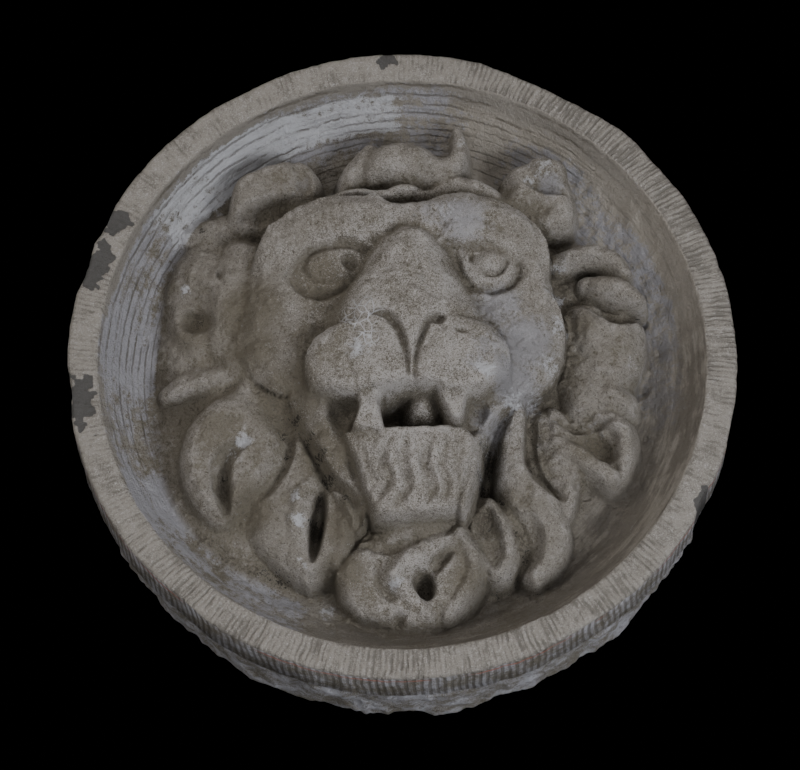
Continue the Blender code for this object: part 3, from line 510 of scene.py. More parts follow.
def gap_fill():
    """The grid's line of places, and how much stone is left at each place in the deep gaps."""
    limit = OUTER_DIAMETER / 2 / UNIT
    line = np.arange(-limit, limit + GAP_GRID, GAP_GRID)
    across, up = np.meshgrid(line, line)
    height = cut_front(across.ravel(), up.ravel()).reshape(across.shape)
    gap = widened(widened(height, np.maximum), np.minimum) - height
    deep = np.maximum(gap - GAP_KEPT, 0)
    fill = deep - deep / (1 + deep / GAP_LIMIT)
    fill *= 1 - ease(*GAP_FIELD, np.hypot(across, up - GAP_MIDDLE))
    for centre, half_sizes, turn in DRILLED:
        angle = math.radians(turn)
        right, above = across - centre[0], up - centre[1]
        along = (right * math.cos(angle) + above * math.sin(angle)) / half_sizes[0]
        over = (above * math.cos(angle) - right * math.sin(angle)) / half_sizes[1]
        fill *= ease(0.8, 1.2, np.hypot(along, over))
    for _ in range(4):
        for axis in (0, 1):
            fill = (np.roll(fill, 1, axis) + 2 * fill + np.roll(fill, -1, axis)) / 4
    return line, fill


def read_grid(line, grid, across, up):
    """The grid's value at each place, from its four nearest cells."""
    last = len(line) - 2
    column, row = (np.clip((value - line[0]) / GAP_GRID, 0, last) for value in (across, up))
    left, below = column.astype(int), row.astype(int)
    lower = grid[below, left] + (column - left) * (grid[below, left + 1] - grid[below, left])
    upper = grid[below + 1, left] + (column - left) * (grid[below + 1, left + 1] - grid[below + 1, left])
    return lower + (row - below) * (upper - lower)


# Wear
# Weather has roughened the whole front and rounded its edges, and the drum's edge is broken in places,
# where fresh dark stone shows. The rear part of the side was only hewn, as it sits in the wall.
WORN_PLACES = [(62, 14, 0.0055), (38, 6, 0.0020), (118, 7, 0.0020), (154, 4, 0.0025), (163, 5, 0.0030),
               (186, 5, 0.0030), (228, 8, 0.0020), (302, 9, 0.0020), (333, 4, 0.0030)]


def lost_edge(angle):
    """How much of the drum's edge is gone, by the angle round it."""
    lost = np.zeros(len(angle))
    for place, half_width, depth in WORN_PLACES:
        away = (np.degrees(angle) - place + 180) % 360 - 180
        lost += depth * np.clip(1 - (away / half_width)**2, 0, 1)
    return lost
FLAKES = [(153, 0.317, 14, 11), (162, 0.317, 24, 13), (188.5, 0.317, 27, 14), (92.5, 0.322, 15, 8),
          (-27, 0.326, 11, 7)]  # degrees round, radius, half sizes
FLAKE_DEPTH = 1.3
ROUGHNESS = [(30, 2.6), (13, 2.3), (6, 1.6), (3.2, 0.8)]  # size of the swells and their height, in UNITs
BLUNTING = 1.4                                        # how far round each point its height is averaged
# Places that are worn rounder, as (across, up, reach, strength), the first three in UNITs
ROUNDED = [(-150, 76, 46, 0.9), (-154, 24, 46, 0.9), (-144, -24, 44, 0.9), (-110, -50, 44, 0.85)]
ROUNDED_OVER = 4                                      # cells of GAP_GRID that those places are averaged over
HEWN = [(0.040, 1.0), (0.017, 0.7), (0.008, 0.45)]    # the same on the hewn side, in metres and shares
HEWN_DEPTH = 0.0042
EDGE_CHIPS = [(0.012, 0.0006, 41), (0.005, 0.0004, 42)]  # size and half depth in metres, and seed
HEWN_STEP = 0.002                                     # how far the hewn part lies below the dressed part


def wander(points, size, seed):
    """Smooth random numbers from -1 to 1 through space, which change over about the given size."""
    table = np.random.default_rng(seed).uniform(-1, 1, 4096)
    cell = np.floor(points / size).astype(int)
    share = points / size - cell
    share = share * share * (3 - 2 * share)
    total = np.zeros(len(points))
    for corner in np.ndindex(2, 2, 2):
        at = cell + corner
        key = at[:, 0] * 73856093 ^ at[:, 1] * 19349663 ^ at[:, 2] * 83492791
        total += table[key % len(table)] * np.prod(np.where(corner, share, 1 - share), axis=1)
    return total


def flaked(across, up):
    """1 where a flake has come off the rim, 0 elsewhere, with ragged edges."""
    points = np.stack([across, up, np.zeros(len(across))], axis=1)
    ragged = 0.45 * wander(points, 9, 31) + 0.25 * wander(points, 4, 32)
    gone = np.zeros(len(across))
    for place, radius, half_length, half_width in FLAKES:
        angle = math.radians(place)
        right = across - radius / UNIT * math.cos(angle)
        above = up - radius / UNIT * math.sin(angle)
        along = (above * math.cos(angle) - right * math.sin(angle)) / half_length
        out = (right * math.cos(angle) + above * math.sin(angle)) / half_width
        gone = np.maximum(gone, ease(-0.15, 0.15, 1 - np.hypot(along, out) + ragged))
    return gone


def blurred(grid, reach):
    """A grid averaged over so many cells each way, three times over, which is nearly round."""
    count = 2 * reach + 1
    for _ in range(3):
        for axis in (0, 1):
            edges = [(reach + 1, reach) if side == axis else (0, 0) for side in (0, 1)]
            total = np.cumsum(np.pad(grid, edges, mode="edge"), axis=axis)
            length = total.shape[axis]
            grid = (total.take(range(count, length), axis) - total.take(range(length - count), axis)) / count
    return grid


def spots(places, across, up):
    """The strength of the nearest of some soft round spots."""
    amount = np.zeros(len(across))
    for right, above, reach, strength in places:
        distance = np.hypot(across - right, up - above) / reach
        amount = np.maximum(amount, strength * np.clip(1.4 * (1 - distance), 0, 1))
    return amount


def worn_height(across, up):
    """The carved front with its weathering."""
    points = np.stack([across, up, np.zeros(len(across))], axis=1)
    shift = 0.9 * wander(points, 14, 21) + 0.5 * wander(points, 5, 22)
    radius = np.maximum(np.hypot(across, up), 1)
    on_rim = ease(-26, -6, radius - INNER_RADIUS / UNIT)
    across, up = (value * (1 + on_rim * shift / radius) for value in (across, up))
    line, fill = gap_fill()
    whole = cut_front(*(side.ravel() for side in np.meshgrid(line, line))).reshape(fill.shape) + fill
    height = read_grid(line, fill, across, up)
    height += spots(ROUNDED, across, up) * read_grid(line, blurred(whole, ROUNDED_OVER) - whole, across, up)
    around = [(0, 0), (1, 0), (-1, 0), (0, 1), (0, -1), (0.7, 0.7), (0.7, -0.7), (-0.7, 0.7), (-0.7, -0.7)]
    for right, above in around:
        height = height + cut_front(across + BLUNTING * right, up + BLUNTING * above) / len(around)
    for seed, (size, amount) in enumerate(ROUGHNESS):
        height = height + amount * (1 - 0.7 * on_rim) * wander(points, size, seed + 11)
    return height - FLAKE_DEPTH * flaked(across, up)


# The stone as one mesh
# The front is a fine spread of points lifted to the carving, and the side goes back in rings to the
# flat back. It is then thinned where it is nearly flat, so that the locks and the face keep their detail.
COLUMNS = 1440                    # round the drum
RIM_ROWS = 8
FINE_STEP = 1.45
SIDE_ROWS = 6
HEWN_ROWS = 44
TRIANGLES = 190000
SAME_POINT = 1e-7


def ring(angle, radius):
    """Points round the axis."""
    return np.stack([radius * np.cos(angle), radius * np.sin(angle)], axis=1)


def front_points(turn, edge_radius):
    """The outer edge first, then rings over the rim and an even spread inside, in UNITs."""
    inner = INNER_RADIUS / UNIT
    sets = [ring(turn, edge_radius / UNIT)]
    for share in np.arange(RIM_ROWS) / RIM_ROWS:
        sets.append(ring(turn, inner + share * (edge_radius / UNIT - inner)))
    reach = inner - FINE_STEP / 2
    for number, up in enumerate(np.arange(-reach, reach, FINE_STEP * math.sqrt(3) / 2)):
        across = np.arange(-reach + FINE_STEP / 2 * (number % 2), reach, FINE_STEP)
        row = np.stack([across, np.full(len(across), up)], axis=1)
        sets.append(row[np.hypot(*row.T) < reach])
    return np.vstack(sets)


def build_stone():
    """The front, the dressed and the hewn side, and the flat back."""
    turn = 2 * math.pi * np.arange(COLUMNS) / COLUMNS
    circle = np.stack([np.cos(turn), np.zeros(COLUMNS), np.sin(turn)], axis=1) * OUTER_DIAMETER / 2
    lost = lost_edge(turn)
    for size, amount, seed in EDGE_CHIPS:
        lost = lost + amount * (1 + wander(circle, size, seed))
    points = front_points(turn, OUTER_DIAMETER / 2 - EDGE_WEAR - lost)
    found = delaunay_2d_cdt([Vector(point) for point in points.tolist()], [], [], 0, SAME_POINT)[2]
    faces = [corners for corners in found if max(corners) >= COLUMNS]
    depth = THICKNESS - DISH_DEPTH + worn_height(*points.T) * UNIT
    verts = [np.stack([points[:, 0] * UNIT, -depth, points[:, 1] * UNIT], axis=1)]
    rough = THICKNESS - DRESSED_SIDE
    levels = list(np.linspace(THICKNESS - EDGE_WEAR, rough + 0.003, SIDE_ROWS))
    levels += list(np.linspace(rough, 0, HEWN_ROWS))
    previous = np.arange(COLUMNS)
    start = len(points)
    for level in levels:
        outer = OUTER_DIAMETER / 2 - lost
        place = circle + (0, -level, 0)
        back = max(0, rough - level) / rough
        if back:
            swell = sum(share * wander(place, size, seed + 51) for seed, (size, share) in enumerate(HEWN))
            outer = outer - BACK_SHRINK * back - HEWN_STEP + HEWN_DEPTH * ease(0, 0.06, back) * swell
        across, up = ring(turn, np.minimum(outer, OUTER_DIAMETER / 2)).T
        verts.append(np.stack([across, np.full(COLUMNS, -level), up], axis=1))
        current = start + np.arange(COLUMNS)
        faces += np.stack([previous, current, np.roll(current, -1), np.roll(previous, -1)], axis=1).tolist()
        previous = current
        start += COLUMNS
    faces.append(previous[::-1].tolist())
    mesh = bpy.data.meshes.new("carved_stone")
    mesh.from_pydata(np.vstack(verts).tolist(), [], faces)
    return mesh


stone = bpy.data.objects.new("carved_stone", build_stone())
bpy.context.scene.collection.objects.link(stone)
thinning = stone.modifiers.new("thinning", "DECIMATE")
thinning.ratio = TRIANGLES / sum(len(face.vertices) - 2 for face in stone.data.polygons)
bpy.context.view_layer.objects.active = stone
stone.select_set(True)
bpy.ops.object.modifier_apply(modifier=thinning.name)
stone.data.shade_smooth()
stone.data.set_sharp_from_angle(angle=math.radians(70))


# Where the stone is worn, limed and dirty, and where light and shade are painted
# What stands proud is scoured to its pale grain, what is sunk holds brown earth and is also painted darker as
# shade, and lime from a wash lies in the dish and on some edges. Moss and soot blacken the deep channels. The
# right side of the face is painted in cool light and the left side partly in shade. These are stored on the
# mesh.
# Each place is (across, up, reach, strength), the first three in UNITs.
LIMED = [(-156, -84, 16, 0.9), (-166, -98, 13, 0.7), (-104, -140, 15, 0.8), (-104, -165, 15, 0.9),
         (-96, -205, 13, 0.6), (144, 206, 20, 0.9), (128, 196, 15, 0.6), (153, 105, 16, 0.6),
         (154, 70, 18, 0.8), (153, 30, 18, 0.8), (146, -10, 18, 0.8), (130, -40, 20, 0.7),
         (108, -48, 22, 0.8), (80, -92, 14, 0.7), (76, -118, 12, 0.6), (-6, -231, 12, 0.9),
         (-40, -196, 20, 0.4), (80, -30, 16, 0.9), (-44, -12, 22, 0.7), (44, 144, 26, 0.7),
         (60, 236, 12, 0.6), (-216, 86, 12, 0.9), (-75, -246, 16, 0.9), (150, -64, 14, 0.5),
         (230, 4, 20, 0.5)]
FACE = [(8, 80, 190, 1.0), (10, -30, 160, 1.0), (12, -120, 84, 1.0), (5, -222, 66, 0.8)]
# Spots of olive brown: partly the stone's own tone, partly painted shade, mostly on the left side.
OLIVE_EARTH_AND_SHADE = [(-150, 52, 46, 1.0), (-148, 8, 40, 0.8), (-80, 80, 42, 0.9), (-112, -46, 48, 1.0),
           (-72, -96, 44, 1.0), (-52, -170, 40, 1.0), (184, -86, 30, 0.9), (-60, -215, 34, 0.8),
           (-206, 40, 40, 0.6), (-150, -150, 40, 0.8), (64, -225, 30, 0.6), (178, 40, 24, 0.6),
           (-84, 178, 40, 0.5), (196, 92, 30, 0.4), (60, 30, 22, 0.5), (100, -150, 30, 0.5)]
# Spots of painted cool light, mostly on the right side of the face, which faces the light.
PAINTED_COOL_LIGHT_SPOTS = [(120, 10, 44, 1.0), (110, -30, 36, 1.0), (96, 48, 40, 0.8), (60, 140, 40, 0.8),
          (30, 150, 26, 0.6), (84, -8, 26, 0.6), (86, -70, 30, 0.7), (150, 190, 20, 0.8),
          (-100, 190, 20, 0.4), (72, -24, 22, 0.5), (-70, 196, 20, 0.3), (190, -60, 24, 0.3)]
NETTED = [(-40, 28, 26, 1.0), (-34, 2, 18, 0.8)]
DIRTY = [(-103, -60, 10, 0.9), (-90, -82, 10, 0.9), (-79, -100, 11, 1.0), (-72, -122, 11, 1.0),
         (-56, -146, 10, 1.0), (-42, -170, 9, 0.8), (-125, -216, 34, 0.55), (-95, -236, 22, 0.5),
         (-85, -168, 17, 1.0), (-84, -140, 9, 0.8), (-118, -76, 9, 0.7), (-112, -96, 9, 0.6),
         (82, -98, 20, 0.8), (78, -124, 16, 0.9), (98, -142, 10, 0.8), (137, -90, 26, 0.45),
         (110, -176, 9, 0.9), (120, -196, 9, 0.7), (100, -224, 28, 0.6), (128, -232, 18, 0.5),
         (-192, -140, 22, 0.45), (-175, -116, 10, 0.6), (-199, 152, 8, 1.0), (19, -229, 12, 0.5),
         (-204, 52, 16, 0.4), (196, -88, 14, 0.35), (60, 176, 16, 0.4), (236, 52, 10, 0.5)]


def store(name, values):
    """Keeps a number for each corner of the stone, for its material to read."""
    stone.data.attributes.new(name, "FLOAT", "POINT").data.foreach_set("value", values.astype(np.float32))


corners = np.empty(len(stone.data.vertices) * 3)
stone.data.vertices.foreach_get("co", corners)
corners = corners.reshape(-1, 3)
across, up = corners[:, 0] / UNIT, corners[:, 2] / UNIT
in_front = ease(THICKNESS - DISH_DEPTH - 0.02, THICKNESS - DISH_DEPTH - 0.01, -corners[:, 1])
line, fill = gap_fill()
field = np.meshgrid(line, line)
height = (cut_front(field[0].ravel(), field[1].ravel()) + fill.ravel()).reshape(fill.shape)
carved = ease(1, 6, height - block_height(*field))
proud = np.clip((height - blurred(height, 4)) / 4, -1, 1)
# How far each place lies below its surroundings; the material paints shade with it.
sunk = np.clip((blurred(height, 13) - height) / 18, 0, 1)
store("proud", in_front * read_grid(line, proud, across, up))
store("sunk", in_front * read_grid(line, sunk * blurred(carved, 2), across, up))
store("face", in_front * spots(FACE, across, up))
store("carved", in_front * read_grid(line, blurred(carved, 1), across, up))
store("olive_earth_and_shade", in_front * spots(OLIVE_EARTH_AND_SHADE, across, up))
store("painted_cool_light", in_front * spots(PAINTED_COOL_LIGHT_SPOTS, across, up))
store("net", in_front * spots(NETTED, across, up))
store("lime", in_front * spots(LIMED, across, up))
store("dirt", in_front * spots(DIRTY, across, up))
store("flaked", in_front * flaked(across, up))


# The material of the stone
# Grey-brown sandstone of pale and dark grains. The dish keeps the rings of the turning tool, and the rim
# and the first part of the side keep rows of chisel strokes. A faint red line was drawn round the side.
class Flow:
    """One output of a material's nodes; arithmetic on it adds the nodes that work it out."""

    def __init__(self, tree, socket=None):
        self.tree = tree
        self.socket = socket

    def node(self, kind, settings=None, inputs=None, output=0):
        """A new node: its settings first, then the values or links of its sockets."""
        made = self.tree.nodes.new(kind)
        for name, value in (settings or {}).items():
            setattr(made, name, value)
        for name, value in (inputs or {}).items():
            if isinstance(value, Flow):
                self.tree.links.new(value.socket, made.inputs[name])
            else:
                made.inputs[name].default_value = value
        return Flow(self.tree, made.outputs[output])

    def sum(self, operation, first, second=0.0):
        """A Math node."""
        return self.node("ShaderNodeMath", {"operation": operation}, {0: first, 1: second})

    def __add__(self, other):
        return self.sum("ADD", self, other)

    def __radd__(self, other):
        return self.sum("ADD", other, self)

    def __sub__(self, other):
        return self.sum("SUBTRACT", self, other)

    def __rsub__(self, other):
        return self.sum("SUBTRACT", other, self)

    def __mul__(self, other):
        return self.sum("MULTIPLY", self, other)

    def __rmul__(self, other):
        return self.sum("MULTIPLY", other, self)

    def __truediv__(self, other):
        return self.sum("DIVIDE", self, other)

    def ease(self, start, end):
        """0 before start, 1 after end, and a soft step between them."""
        return self.node("ShaderNodeMapRange", {"interpolation_type": "SMOOTHSTEP"},
                         {"Value": self, "From Min": start, "From Max": end})

    def band(self, start, end, soft):
        """1 between start and end, falling to 0 over a soft edge outside them."""
        return self.ease(start - soft, start) * (1 - self.ease(end, end + soft))

    def mix(self, first, second):
        """The first colour where this is 0, the second where it is 1."""
        return self.node("ShaderNodeMix", {"data_type": "RGBA"}, {0: self, 6: first, 7: second}, output=2)


material = bpy.data.materials.new("weathered_sandstone")
material.use_nodes = True
shader = material.node_tree.nodes["Principled BSDF"]
start = Flow(material.node_tree)
place = start.node("ShaderNodeTexCoord", output=3)
right = start.node("ShaderNodeSeparateXYZ", None, {0: place}, output=0)
back = start.node("ShaderNodeSeparateXYZ", None, {0: place}, output=1)
above = start.node("ShaderNodeSeparateXYZ", None, {0: place}, output=2)
radius = start.sum("SQRT", right * right + above * above)
turn = start.sum("ARCTAN2", above, right)
depth = 0 - back


def noise(scale, detail=4.0, roughness=0.6, vector=place):
    """Cloudy noise, mostly from -0.5 to 0.5; scale is how many swells lie in a metre."""
    made = start.node("ShaderNodeTexNoise", None,
                      {"Vector": vector, "Scale": scale, "Detail": detail, "Roughness": roughness})
    return (made - 0.5) * 4


def strokes(across_them, round_them, along_turn, detail=3.0):
    """Long marks: narrow in the first direction, and as narrow or long round the drum as is asked."""
    vector = start.node("ShaderNodeCombineXYZ", None,
                        {0: across_them * round_them, 1: right / radius * along_turn,
                         2: above / radius * along_turn})
    return noise(1, detail, 0.62, vector)


def sector(middle, half_width, soft):
    """1 in a sector of the drum, in degrees round from the right, with soft sides."""
    facing = (right * math.cos(math.radians(middle)) + above * math.sin(math.radians(middle))) / radius
    return facing.ease(math.cos(math.radians(half_width + soft)), math.cos(math.radians(half_width)))


def stored(name):
    """A number kept on the mesh."""
    return start.node("ShaderNodeAttribute", {"attribute_name": name}, output=2)


proud, sunk, carved = stored("proud"), stored("sunk"), stored("carved")
cloud = noise(9, 3)
patchy = noise(38, 5, 0.65)
ragged = noise(150, 5, 0.7)
pitted = noise(330, 4, 0.7)
grain = noise(760, 3, 0.75)
fine = noise(1500, 2)

on_rim = (radius + patchy * 0.0007).ease(INNER_RADIUS - 0.0015, INNER_RADIUS + 0.001)
on_side = on_rim * (1 - depth.ease(THICKNESS - 0.006, THICKNESS - 0.003))
rough_from = THICKNESS - DRESSED_SIDE
dressed = on_side * (depth + patchy * 0.003).ease(rough_from - 0.003, rough_from + 0.003)
hewn = on_side - dressed
rim = on_rim - on_side
dish = (1 - on_rim) * (1 - carved)

RIM_STROKES = 371
SIDE_STROKES = 285
RING_PITCH = 0.0058
even_strokes = start.sum("SINE", turn * RIM_STROKES + noise(26, 3) * 3.2 + radius * 90).ease(-0.3, 1)
rim_stroke = strokes(radius, 22, 66).ease(-0.3, 0.5) * 0.6 + even_strokes * 0.5
# The strokes show most on the right and at the bottom, where the light rakes them; this sets their relief and
# their painted shade.
crisp = sector(36, 34, 14) * 0.7 + sector(-90, 40, 24) * 0.4
rim_stroke = rim_stroke * (noise(40, 3).ease(-0.6, 0.6) * 0.7 + crisp)
even_side = start.sum("SINE", turn * SIDE_STROKES + noise(18, 2) * 2 + depth * 50).ease(-0.5, 0.8)
side_stroke = even_side * 0.9 + strokes(depth, 12, 70).ease(-0.3, 0.5) * 0.3
ring_phase = radius * (2 * math.pi / RING_PITCH) + noise(8, 3) * 1.6 + ragged * 0.7
even_rings = start.sum("SINE", ring_phase).ease(0.4, 1)
broad_rings = strokes(radius, 110, 4, 4.0)
rings = even_rings * (broad_rings + ragged * 0.6).ease(-0.5, 0.3) * sector(125, 62, 30)
rings = rings + strokes(radius, 330, 6).ease(0.1, 0.6) * 0.4

# Colours of the stone, its lime, its earth and its dirt, and of its painted light and shade
PALE_GRAIN = (0.50, 0.470, 0.450, 1)
GREY_STONE = (0.262, 0.238, 0.208, 1)
EARTH_AND_SHADE_BROWN = (0.200, 0.178, 0.143, 1)
OLIVE = (0.160, 0.139, 0.104, 1)
DARK_EARTH_AND_SHADE = (0.098, 0.083, 0.063, 1)
RIM_STONE = (0.250, 0.229, 0.204, 1)
RIM_DARK = (0.150, 0.137, 0.122, 1)
RIM_PALE = (0.400, 0.385, 0.380, 1)
BLUE_LIME_AND_COOL_LIGHT = (0.360, 0.355, 0.385, 1)
WHITE_LIME = (0.58, 0.58, 0.61, 1)
BLUE_GREY = (0.480, 0.475, 0.515, 1)
FRESH_DARK = (0.060, 0.058, 0.057, 1)
SOOT = (0.030, 0.026, 0.021, 1)
RED_LINE = (0.36, 0.165, 0.130, 1)
DARK_GRAIN = (0.125, 0.108, 0.088, 1)
SHADE_BROWN = (0.140, 0.122, 0.102, 1)
PAINTED_LIGHT_PALE = (0.440, 0.400, 0.350, 1)

# Painted shade: the recesses turn brown and, deepest, dark brown, together with the brown earth they hold.
earth_and_shade = sunk * 0.9 - cloud * 0.6 - patchy * 0.6 - ragged * 0.5 - pitted * 0.4 - proud * 0.3 - 0.05
colour = earth_and_shade.ease(-0.05, 0.5).mix(GREY_STONE, EARTH_AND_SHADE_BROWN)
colour = (sunk * 0.9 - patchy * 0.7 - pitted * 0.8 - ragged * 0.4).ease(0.55, 1.3).mix(colour, DARK_EARTH_AND_SHADE)
# Olive brown: partly the stone's own tone, partly painted shade on the left side, which faces away from the
# light, and in some hollows.
olive = (stored("olive_earth_and_shade") + patchy * 0.25 + ragged * 0.2 - 0.35).ease(-0.25, 0.45)
colour = (olive * 0.8).mix(colour, OLIVE)
dark_grain = (pitted * 0.4 + grain * 0.9 + ragged * 0.2 - sunk * 0.2).ease(-0.6, -0.15)
colour = dark_grain.mix(DARK_GRAIN, colour)
on_face = stored("face")
speckle = grain * 1.0 + pitted * 0.3 + fine * 0.5 + proud * 0.3 + patchy * 0.35 + on_face * 0.5
speckle = (speckle - sunk * 0.5 - olive * 0.35 - 0.47).ease(-0.05, 0.35)
colour = (speckle * (on_face * 0.35 + 0.45)).mix(colour, PALE_GRAIN)
dust = (ragged * 0.9 + patchy * 0.7 + proud * 0.4 - olive * 0.4).ease(0.2, 0.9)
colour = (carved * dust * 0.22).mix(colour, PALE_GRAIN)
pits = (0 - pitted * 0.9 - grain * 0.5 - ragged * 0.4 + olive * 0.15).ease(0.6, 1.0)
colour = (carved * pits * 0.6).mix(colour, DARK_EARTH_AND_SHADE)
# Painted light: paler blue-grey on the parts that face the cool light from the right.
cool_light_paint = (stored("painted_cool_light") * 1.2 + ragged * 0.4 + pitted * 0.3 - 0.55).ease(-0.3, 0.5)
colour = (cool_light_paint * 0.6).mix(colour, BLUE_LIME_AND_COOL_LIGHT)
# Painted shade in the chisel strokes of the rim, and darker patches of the stone's own tone.
rim_tone_and_stroke_shade = (rim_stroke * 0.9 - patchy * 0.5 - grain * 0.6 - ragged * 0.4).ease(0.0, 0.8)
rim_colour = rim_tone_and_stroke_shade.mix(RIM_STONE, RIM_DARK)
rim_grain = (grain * 1.0 + ragged * 0.3 + pitted * 0.3 - rim_stroke * 0.5).ease(0.1, 0.7)
rim_colour = (rim_grain * 0.7).mix(rim_colour, RIM_PALE)
colour = rim.mix(colour, rim_colour)

# Painted light: the dish's right wall is made paler, standing in for more light on it.
right_wall_painted_light = dish * sector(22, 58, 24) * (1.1 - radius.ease(0.24, 0.3) * 0.3)
colour = (right_wall_painted_light * 0.62).mix(colour, PAINTED_LIGHT_PALE)
lip = dish * radius.ease(0.286, 0.292) * sector(120, 70, 20)
colour = (lip * 0.8).mix(colour, RIM_STONE)
limed_left = sector(130, 44, 18) * radius.band(0.250, 0.291, 0.009)
limed_top = sector(110, 17, 6) * radius.band(0.267, 0.289, 0.006)
limed_top = limed_top + sector(132, 12, 8) * radius.band(0.262, 0.291, 0.006)
streaks_right = sector(26, 32, 14) * radius.band(0.232, 0.272, 0.014)
low_left = sector(-132, 19, 8) * radius.band(0.258, 0.296, 0.008)
left_wall = sector(-168, 16, 14) * radius.band(0.25, 0.297, 0.010)
lime = limed_left * 0.62 + streaks_right * 0.6 + low_left * 0.62 + left_wall * 0.5 - 0.5
lime = lime + broad_rings * 0.35 + ragged * 0.4 + patchy * 0.35 + grain * 0.25
colour = (dish * lime.ease(-0.15, 0.3) * 0.85).mix(colour, BLUE_LIME_AND_COOL_LIGHT)
whitest = (1 - on_rim) * limed_top + stored("lime") * 0.8 - 0.55
whitest = (whitest + broad_rings * dish * 0.3 + patchy * 0.25 + ragged * 0.45 + grain * 0.2).ease(-0.1, 0.3)
colour = (whitest * 0.8).mix(colour, WHITE_LIME)
# Painted shade: the lower right of the dish, which faces away from the light, and a thin band by the rim on
# the right are darkened brown.
painted_shade_wall = dish * (sector(-48, 46, 22) + sector(20, 50, 20) * radius.band(0.280, 0.3, 0.004) * 0.15)
painted_shade_brown = painted_shade_wall * (broad_rings * 0.8 + patchy * 0.5 + 0.7).ease(0.1, 0.9)
colour = (painted_shade_brown * 0.66).mix(colour, SHADE_BROWN)
# Painted shade in the rings of the turning tool.
colour = (dish * rings * 0.62).mix(colour, DARK_EARTH_AND_SHADE)
net = start.node("ShaderNodeTexVoronoi", {"feature": "DISTANCE_TO_EDGE"}, {"Vector": place, "Scale": 105})
net = (1 - net.ease(0.02, 0.075)) * (stored("net") + ragged * 0.4 - 0.1).ease(0.0, 0.6)
colour = (net * 0.8).mix(colour, WHITE_LIME)

side_colour = (patchy * 0.8 + grain * 0.6).ease(-0.4, 0.4).mix(EARTH_AND_SHADE_BROWN, BLUE_GREY)
side_colour = (grain * 0.8 + ragged * 0.4).ease(0.0, 0.6).mix(side_colour, BLUE_LIME_AND_COOL_LIGHT)
side_colour = ((0 - ragged - pitted * 0.5).ease(0.1, 0.6) * 0.45).mix(side_colour, DARK_EARTH_AND_SHADE)
# Painted shade in the dressed chisel strokes of the side.
side_colour = (dressed * side_stroke * 0.65).mix(side_colour, DARK_EARTH_AND_SHADE)
red = depth.band(THICKNESS - 0.0125, THICKNESS - 0.0095, 0.0012) * noise(12, 3).ease(-0.4, 0.2)
side_colour = (red * 0.9).mix(side_colour, RED_LINE)
colour = on_side.mix(colour, side_colour)
flake = (stored("flaked") - 0.45 + ragged * 0.35).ease(-0.1, 0.2)
colour = (flake * 0.9).mix(colour, FRESH_DARK)
moss = stored("dirt") * 0.9 + sunk * 0.4 + pitted * 0.9 + ragged * 0.5 - 0.85
moss = moss.ease(-0.05, 0.3)
colour = (moss * 0.9).mix(colour, SOOT)
material.node_tree.links.new(colour.socket, shader.inputs["Base Color"])

weathering = 0.93 - speckle * 0.06 + moss * 0.04
material.node_tree.links.new(weathering.socket, shader.inputs["Roughness"])
shader.inputs["Specular IOR Level"].default_value = 0.25

# The height of the finest relief, in millimetres
relief = grain * 0.35 + fine * 0.15 + ragged * 1.6 + pitted * 1.1
relief = relief * (1 - rim * 0.6) - rim * rim_stroke * 1.5 - dish * rings * 1.0 - dressed * side_stroke * 2.0
relief = relief + hewn * noise(70, 6, 0.75) * 1.5 - moss * 1.0 + whitest * 0.25 - flake * 0.5
bump = start.node("ShaderNodeBump", None, {"Height": relief, "Distance": 0.001, "Strength": 1.0})
material.node_tree.links.new(bump.socket, shader.inputs["Normal"])
stone.data.materials.append(material)
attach(stone, "root")
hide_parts("lion_medallion")

# The floor
# A plain pale studio floor well below the medallion, which hangs on its wall.
FLOOR_LEVEL = -1.9
bpy.ops.mesh.primitive_plane_add(size=14, location=(0, 0, FLOOR_LEVEL))
floor = bpy.context.object
floor.name = "floor"
pale = bpy.data.materials.new("pale_floor")
pale.use_nodes = True
pale.node_tree.nodes["Principled BSDF"].inputs["Base Color"].default_value = (0.55, 0.55, 0.55, 1)
pale.node_tree.nodes["Principled BSDF"].inputs["Roughness"].default_value = 0.85
floor.data.materials.append(pale)

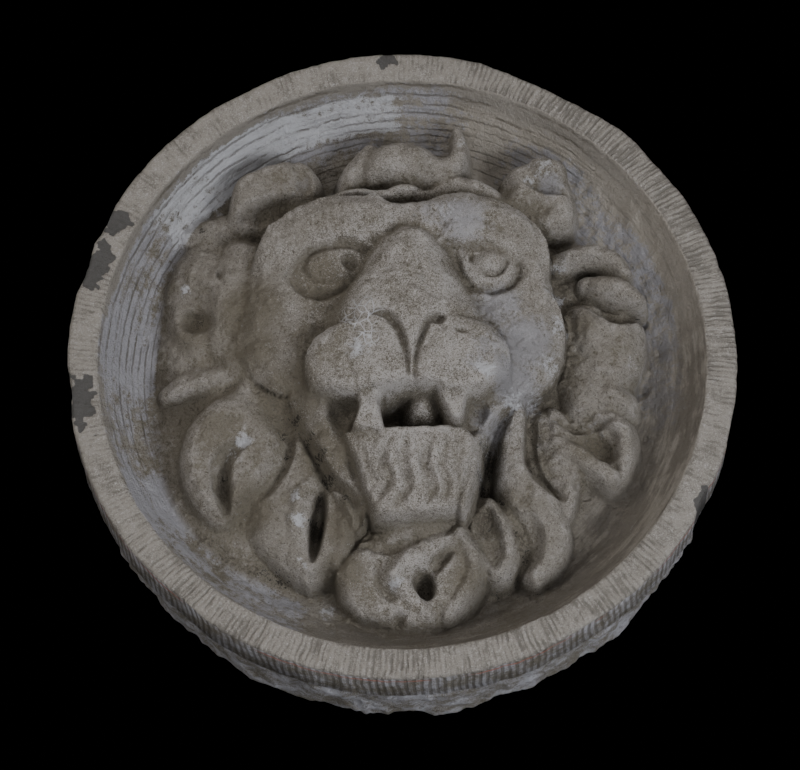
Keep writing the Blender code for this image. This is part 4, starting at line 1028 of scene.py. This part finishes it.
# The camera and the light
# The picture was taken from a little below, a good way off, with soft light from the right and below.
TARGET = Vector((-0.0022, -0.17, -0.0298))
DISTANCE = 3.92
ELEVATION = math.radians(-20.8)
ROLL = math.radians(0.3)
SENSOR = 36
FOCAL_LENGTH = 180
LAMPS = {"key_light": {"location": (2.0, -2.2, -1.5), "size": 1.1, "power": 74, "tint": (0.94, 0.97, 1.0)},
         "left_light": {"location": (-2.4, -1.9, 0.4), "size": 2.4, "power": 38, "tint": (1.0, 0.97, 0.92)},
         "top_light": {"location": (0.3, -1.7, 2.3), "size": 2.4, "power": 24, "tint": (1.0, 0.98, 0.95)},
         "front_light": {"location": (0.6, -4.6, 0.2), "size": 2.6, "power": 46, "tint": (1.0, 0.99, 0.98)},
         "low_light": {"location": (0.2, -1.5, -1.8), "size": 1.6, "power": 22, "tint": (0.90, 0.94, 1.0)}}
DARKNESS = (0, 0, 0, 1)


def turn_to(thing, point, roll=0.0):
    """Turns a camera or lamp to look at a point."""
    thing.rotation_mode = "QUATERNION"
    look = (point - thing.location).to_track_quat("-Z", "Y")
    thing.rotation_quaternion = look @ Quaternion((0, 0, 1), -roll)


def soft_light(name, location, size, power, tint):
    """A square studio lamp that looks at the medallion."""
    lamp = bpy.data.objects.new(name, bpy.data.lights.new(name, "AREA"))
    lamp.data.size = size
    lamp.data.energy = power
    lamp.data.color = tint
    lamp.location = location
    turn_to(lamp, Vector((0, -0.1, 0)))
    bpy.context.scene.collection.objects.link(lamp)


camera = bpy.data.objects.new("camera", bpy.data.cameras.new("camera"))
camera.location = TARGET + DISTANCE * Vector((0, -math.cos(ELEVATION), math.sin(ELEVATION)))
camera.data.sensor_width = SENSOR
camera.data.lens = FOCAL_LENGTH
camera.data.clip_end = 50
turn_to(camera, TARGET, ROLL)
bpy.context.scene.collection.objects.link(camera)
bpy.context.scene.camera = camera
for name, lamp in LAMPS.items():
    soft_light(name, **lamp)
world = bpy.data.worlds.new("studio")
bpy.context.scene.world = world
world.use_nodes = True
world.node_tree.nodes["Background"].inputs["Color"].default_value = DARKNESS
